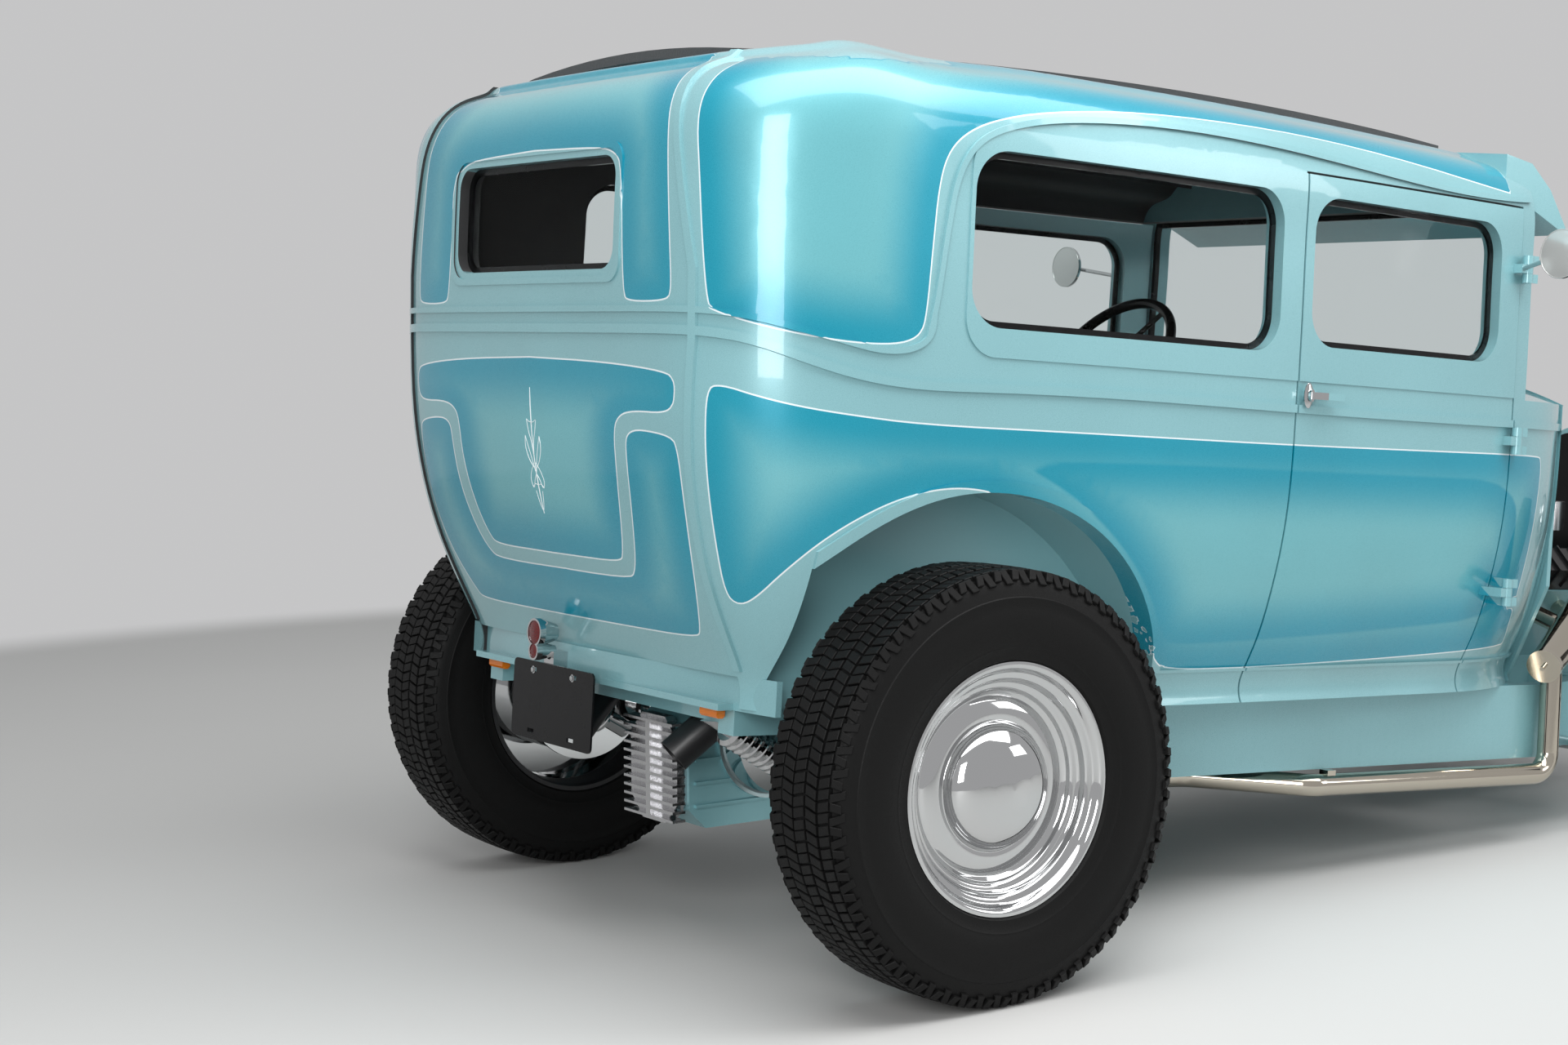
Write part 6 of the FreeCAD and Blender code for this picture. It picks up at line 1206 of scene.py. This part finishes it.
def swell(piece):
    remesh = piece.modifiers.new("even_mesh", "REMESH")
    remesh.mode = "VOXEL"
    remesh.voxel_size = SEAT_VOXEL
    before = vectors(settled_mesh(piece).vertices, "co")
    cloth_step = piece.modifiers.new("swelling", "CLOTH")
    cloth_step.settings.use_pressure = True
    cloth_step.settings.uniform_pressure_force = SEAT_PRESSURE
    cloth_step.settings.effector_weights.gravity = 0.0
    for frame_number in range(1, CLOTH_FRAMES + 1):
        bpy.context.scene.frame_set(frame_number)
    after = vectors(settled_mesh(piece).vertices, "co")
    bpy.context.scene.frame_set(1)
    move = after - before
    reach = np.linalg.norm(move, axis=1, keepdims=True)
    move *= np.minimum(1.0, SEAT_SWELL / np.maximum(reach, 1e-9))
    piece.data.vertices.foreach_set("co", (before + move).ravel())


print("padding swells by", SEAT_SWELL, "m at most")

# %% [markdown]
# The upholsterer sews the cover down in straight channels. They are pressed into the swollen
# form by moving its points inward along a soft groove, only where the surface looks the way
# that the sitter touches.

# %% Press the sewn channels
CHANNEL_PITCH = 0.120
CHANNEL_DEPTH = 0.007
CHANNEL_WIDTH = 0.007


def press_channels(piece, facing):
    """Press sewn channels into the faces that look along the facing direction."""
    rounder = piece.modifiers.new("rounder", "SUBSURF")
    rounder.levels = 1
    rounder.render_levels = 1
    mesh = settled_mesh(piece)
    points = vectors(mesh.vertices, "co")
    normals = vectors(mesh.vertex_normals, "vector", np.float32)
    across = points[:, 1] / CHANNEL_PITCH
    gap = np.abs(across - np.round(across)) * CHANNEL_PITCH
    turned = np.clip(normals @ np.array(facing) * 1.5, 0.0, 1.0)
    press = CHANNEL_DEPTH * np.exp(-(gap / CHANNEL_WIDTH) ** 2) * turned
    mesh.vertices.foreach_set("co", (points - normals * press[:, None]).ravel())


print("a channel every", CHANNEL_PITCH, "m")

# %% [markdown]
# Both benches are made alike, from their rear, front, half width and floor height. The
# cushion lies on the base and the back stands on the cushion's rear edge. The channels are
# pressed into the cushion's top and into the back's front, where the sewing runs.

# %% Bench seats
SEATS = {"front_seat": (0.560, 1.080, 0.480, 0.500),
         "rear_seat": (-0.285, 0.260, 0.440, 0.540)}
CUSHION_LOW = 0.575
CUSHION_HIGH = 0.760
BACK_HIGH = 1.120
BACK_DEEP = 0.126
OVERLAP = 0.010
CUSHION_GAP = 0.004
BASE_INSET = 0.040
BASE_HIGH = 0.600
EASE = 0.035


def make_bench(node_name):
    rear, front, half, floor_level = SEATS[node_name]
    inset = SEAT_SWELL
    base_form = eased_block((rear + BASE_INSET, -half + BASE_INSET, floor_level),
                            (front - BASE_INSET, half - BASE_INSET, BASE_HIGH), 0.006, 2)
    bmesh.ops.transform(base_form, matrix=TIP, verts=base_form.verts[:])
    base = new_piece(node_name + "_base", base_form, cloth, "chassis")
    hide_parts(node_name)
    pads = []
    for label, low, high, facing in (
            ("cushion", (rear + inset, -half + inset, CUSHION_LOW + CUSHION_GAP),
             (front - inset, half - inset, CUSHION_HIGH - inset), (0.07, 0.0, 1.0)),
            ("back", (rear + inset, -half + inset, CUSHION_HIGH - OVERLAP),
             (rear + BACK_DEEP, half - inset, BACK_HIGH - inset), (1.0, 0.0, 0.0))):
        pad_form = eased_block(low, high, EASE)
        bmesh.ops.transform(pad_form, matrix=TIP, verts=pad_form.verts[:])
        pad = new_piece(node_name + "_" + label, pad_form, leather, "chassis",
                        180.0)
        swell(pad)
        press_channels(pad, facing)
        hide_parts(node_name)
        pads.append(pad)
    return pads


for node_name in SEATS:
    for pad in make_bench(node_name):
        print(pad.name, len(pad.data.polygons), "faces")

# %% [markdown]
# The tail lamp has two round red lenses set in chrome, one above the other. A lens is a
# shallow dome with stepped rings moulded into it, turned in one profile. It sits in the
# seat that the lamp has for it.

# %% Tail lamp lenses
LAMP_REAR = -0.432
LAMP_OUT = 0.100
LENSES = ((0.0228, 0.566), (0.0138, 0.530))
LENS_RINGS = 6
SEAT_DEPTH = 0.002
lens_form = bmesh.new()
for radius, up in LENSES:
    profile = [(0.0, 0.0), (radius, 0.0)]
    for ring in range(LENS_RINGS):
        share = 1 - ring / LENS_RINGS
        profile += [(radius * share, 0.0004 + 0.0014 * (1 - share * share)),
                    (radius * (share - 0.04), 0.0008 + 0.0012 * (1 - share * share))]
    profile.append((0.0, 0.0019))
    add_turned(lens_form, profile, seat_matrix(placed(LAMP_REAR + SEAT_DEPTH, LAMP_OUT, up),
                                               REARWARD), 40)
tail_lenses = new_piece("tail_lenses", lens_form, red_glass, "chassis", 25.0)
print(tail_lenses.name, len(tail_lenses.data.polygons), "faces")

# %% [markdown]
# The number plate hangs from two hexagon bolts. A head is a short six-sided bar with a
# chamfered top, which catches a ring of light, on a thin turned washer.

# %% The plate's bolts
PLATE_REAR = -0.4005
PLATE_BOLTS = ((0.000, 0.488), (0.150, 0.488))


def add_bolt(form, place, axis, radius, height):
    """A hexagon head with a chamfered top on a thin washer."""
    matrix = seat_matrix(place, axis)
    rim, thick = radius * 1.35, height * 0.18
    add_turned(form, [(0.0, 0.0), (rim, 0.0), (rim, thick), (0.0, thick)], matrix, 16)
    head = bmesh.new()
    bmesh.ops.create_cone(head, cap_ends=True, segments=6, radius1=radius, radius2=radius,
                          depth=height)
    bmesh.ops.translate(head, verts=head.verts[:], vec=(0, 0, height * 0.68))
    top = [edge for edge in head.edges if all(vert.co.z > height for vert in edge.verts)]
    ease_edges(head, top, radius * 0.12)
    add_part(form, head, matrix)


bolt_form = bmesh.new()
for out, up in PLATE_BOLTS:
    add_bolt(bolt_form, placed(PLATE_REAR, out, up), REARWARD, 0.0055, 0.003)
plate_bolts = new_piece("plate_bolts", bolt_form, chrome, "chassis", 30.0)
print(plate_bolts.name, "plate's rear at", round(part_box("number_plate")[0][0], 4))

# %% [markdown]
# A polished escutcheon sits behind the door handle and the lever tapers to a point. The
# escutcheon is turned, then squeezed into an oval. The lever is a bar whose end faces are
# scaled, so that it is thick at the hub and thin at the tip.

# %% Door handles
HANDLE_PLACE = (0.822, 0.6762, 1.101)
ROSE_PROFILE = [(0.0, 0.0), (0.017, 0.0), (0.017, 0.0015), (0.014, 0.0035), (0.009, 0.0045),
                (0.0085, 0.012), (0.0, 0.0125)]
ROSE_OVAL = (0.72, 1.45, 1.0, 1.0)
LEVER_SIZE = (0.050, 0.013, 0.006)
LEVER_TIP = (1.0, 0.30, 0.6)
LEVER_PLACE = (0.020, 0.0, 0.0095)


def make_handle(side, sign):
    form = bmesh.new()
    add_turned(form, ROSE_PROFILE, Matrix.Diagonal(ROSE_OVAL))
    lever = bmesh.new()
    bmesh.ops.create_cube(lever, size=1.0)
    bmesh.ops.scale(lever, vec=LEVER_SIZE, verts=lever.verts[:])
    tip = [vert for vert in lever.verts if vert.co.x > 0]
    bmesh.ops.scale(lever, vec=LEVER_TIP, verts=tip)
    ease_edges(lever, lever.edges[:], 0.0016)
    add_part(form, lever, Matrix.Translation(LEVER_PLACE))
    matrix = Matrix(((1, 0, 0, 0), (0, 0, sign, 0), (0, 1, 0, 0), (0, 0, 0, 1)))
    ahead, out, up = HANDLE_PLACE
    bmesh.ops.transform(form, matrix=Matrix.Translation(placed(ahead, sign * out, up))
                        @ Matrix.Rotation(RAKE, 4, "Y") @ matrix, verts=form.verts[:])
    bmesh.ops.recalc_face_normals(form, faces=form.faces[:])
    return new_piece("door_handle_" + side, form, chrome, "door_" + side, 35.0)


for side, sign in SIDES:
    print(make_handle(side, sign).name)

# %% [markdown]
# The dash holds round gauges. Each is a chrome ring turned about the gauge's axis, a black
# face under it and a small turned chrome boss at its middle.

# %% Gauges
GAUGE_REAR = 1.4645
GAUGE_OUTS = (0.277, 0.367)
GAUGE_UP = 1.0975
GAUGE_RADIUS = 0.034
ring_form = bmesh.new()
face_form = bmesh.new()
for out in GAUGE_OUTS:
    seat = seat_matrix(placed(GAUGE_REAR, out, GAUGE_UP), REARWARD)
    ring = [(GAUGE_RADIUS, 0.0), (GAUGE_RADIUS + 0.003, 0.002), (GAUGE_RADIUS, 0.006),
            (GAUGE_RADIUS - 0.004, 0.005), (GAUGE_RADIUS - 0.005, 0.001),
            (GAUGE_RADIUS - 0.005, 0.0), (GAUGE_RADIUS, 0.0)]
    add_turned(ring_form, ring, seat, 40)
    pointer = [(0.0, 0.0036), (0.004, 0.0036), (0.0035, 0.006), (0.0, 0.0065)]
    add_turned(ring_form, pointer, seat, 16)
    add_turned(face_form, [(0.0, 0.0), (GAUGE_RADIUS - 0.004, 0.0),
                           (GAUGE_RADIUS - 0.004, 0.002), (0.0, 0.0022)], seat, 40)
gauge_rings = new_piece("gauge_rings", ring_form, chrome, "chassis", 30.0)
gauge_faces = new_piece("gauge_faces", face_form, black, "chassis", 30.0)
print(gauge_rings.name, gauge_faces.name)

# %% [markdown]
# The round mirrors have slightly bulged glasses, so that they show a wide view. Each glass
# is a shallow dome turned about the mirror's axis, with a fine rolled rim round it. The
# glass is only partly metal: the rest of its finish is a pale diffuse grey, a painted
# reflection of the pale wall, so that it looks pale whatever it faces.

# %% Mirror glasses
# Less than half metal; the pale diffuse grey is a painted reflection of the wall.
mirror_with_painted_reflection = grained("mirror_glass_with_painted_reflection", (0.62, 0.63, 0.62), 0.45, (30.0, 0.14, 0.20))
MIRROR_PLACE = (1.4355, 0.766, 1.424)
MIRROR_PROFILE = [(0.0, 0.0), (0.0500, 0.0), (0.0510, 0.0006), (0.0505, 0.0016),
                  (0.0490, 0.0016), (0.0485, 0.0008), (0.0400, 0.0020), (0.0300, 0.0030),
                  (0.0200, 0.0037), (0.0100, 0.0041), (0.0, 0.0042)]
for side, sign in SIDES:
    ahead, out, up = MIRROR_PLACE
    mirror_form = bmesh.new()
    seat = seat_matrix(placed(ahead, sign * out, up), REARWARD)
    add_turned(mirror_form, MIRROR_PROFILE, seat, 64)
    mirror_glass = new_piece("mirror_glass_" + side, mirror_form, mirror_with_painted_reflection, "door_" + side,
                             25.0)
    print(mirror_glass.name, len(mirror_glass.data.polygons), "faces")

# %% [markdown]
# The headlamps' glasses are shallow domes with upright ribs moulded in, which the lens
# material draws with its wave. Each is turned in one profile and sits inside the rim.

# %% Headlamp glasses
LAMP_AHEAD = 2.6640
LAMP_OUTS = (0.330, -0.330)
LAMP_UP = 0.800
lamp_glass = lens_material("headlamp_glass", (0.80, 0.83, 0.86))
lamp_form = bmesh.new()
LAMP_PROFILE = [(0.0, 0.0), (0.080, 0.0), (0.080, 0.004), (0.070, 0.0075), (0.055, 0.0115),
                (0.040, 0.0140), (0.020, 0.0152), (0.0, 0.0155)]
for out in LAMP_OUTS:
    add_turned(lamp_form, LAMP_PROFILE, seat_matrix(placed(LAMP_AHEAD, out, LAMP_UP), FORWARD),
               48)
lamp_glasses = new_piece("headlamp_glasses", lamp_form, lamp_glass, "chassis",
                         40.0)
print(lamp_glasses.name, len(lamp_glasses.data.polygons), "faces")

# %% [markdown]
# The stage is a plain pale floor that fades into a backdrop of the same brightness as the
# studio's walls. Camera, glossy and transmission rays see the wall's colour, while the
# light on the car comes from a dimmer world and from large soft lamps.

# %% Floor and backdrop
FLOOR_HALF = 30.0
FLOOR_COLOUR = (0.58, 0.58, 0.57)
WALL_COLOUR = (0.56, 0.56, 0.565)
WORLD_LIGHT = (0.38, 0.385, 0.39)
WALL_SPAN = (4.9, 5.5)
bpy.ops.mesh.primitive_plane_add(size=2 * FLOOR_HALF)
floor = bpy.context.object
floor.name = "studio_floor"
floor_material, floor_tree, floor_shader = new_material("studio_floor", FLOOR_COLOUR, 0.7)
floor_shade = add_noise(floor_tree, 0.6)
floor_tree.links.new(add_range(floor_tree, floor_shade, *NOISE_SPAN, 0.62, 0.74),
                     floor_shader.inputs["Roughness"])
wall = add_node(floor_tree, "Emission", {"Color": (*WALL_COLOUR, 1.0)})
away = add_node(floor_tree, "VectorMath", {0: object_place(floor_tree)}, operation="LENGTH")
blend = add_node(floor_tree, "MixShader", {
    "Fac": add_range(floor_tree, away["Value"], *WALL_SPAN, 0.0, 1.0),
    1: floor_shader.outputs["BSDF"], 2: wall["Emission"]})
floor_tree.links.new(blend["Shader"], floor_tree.nodes["Material Output"].inputs["Surface"])
floor.data.materials.append(floor_material)

world = bpy.data.worlds.new("studio")
bpy.context.scene.world = world
world.use_nodes = True
world_tree = world.node_tree
background = world_tree.nodes["Background"]
rays = add_node(world_tree, "LightPath", {})
seen = add_math(world_tree, "MAXIMUM", rays["Is Camera Ray"], rays["Is Glossy Ray"])
seen = add_math(world_tree, "MAXIMUM", seen, rays["Is Transmission Ray"])
world_tree.links.new(add_mix(world_tree, seen, WORLD_LIGHT, WALL_COLOUR),
                     background.inputs["Color"])
background.inputs["Strength"].default_value = 1.0
print("floor and backdrop ready")

# %% [markdown]
# The lamps are large so that the paint shows long soft highlights. One hangs over the car's
# right side, one stands behind the camera and lights the rear corner, and one stands ahead.

# %% Soft lamps
LAMPS = (("overhead", (-0.6, -1.6, 3.8), (-0.2, -0.2, 1.2), 6.0, 2.4, 200),
         ("rear_corner", (-5.2, -4.4, 2.4), (-1.5, -0.5, 1.3), 1.9, 2.8, 170),
         ("front_right", (3.6, -4.4, 2.6), (0, 0, 0.7), 2.2, 1.6, 45))


def soft_lamp(name, place, target, wide, high, power):
    data = bpy.data.lights.new(name, "AREA")
    data.shape = "RECTANGLE"
    data.size = wide
    data.size_y = high
    data.energy = power
    lamp = bpy.data.objects.new(name, data)
    bpy.context.collection.objects.link(lamp)
    lamp.location = place
    aim = Vector(target) - Vector(place)
    lamp.rotation_euler = aim.to_track_quat("-Z", "Y").to_euler()


for settings in LAMPS:
    soft_lamp(*settings)
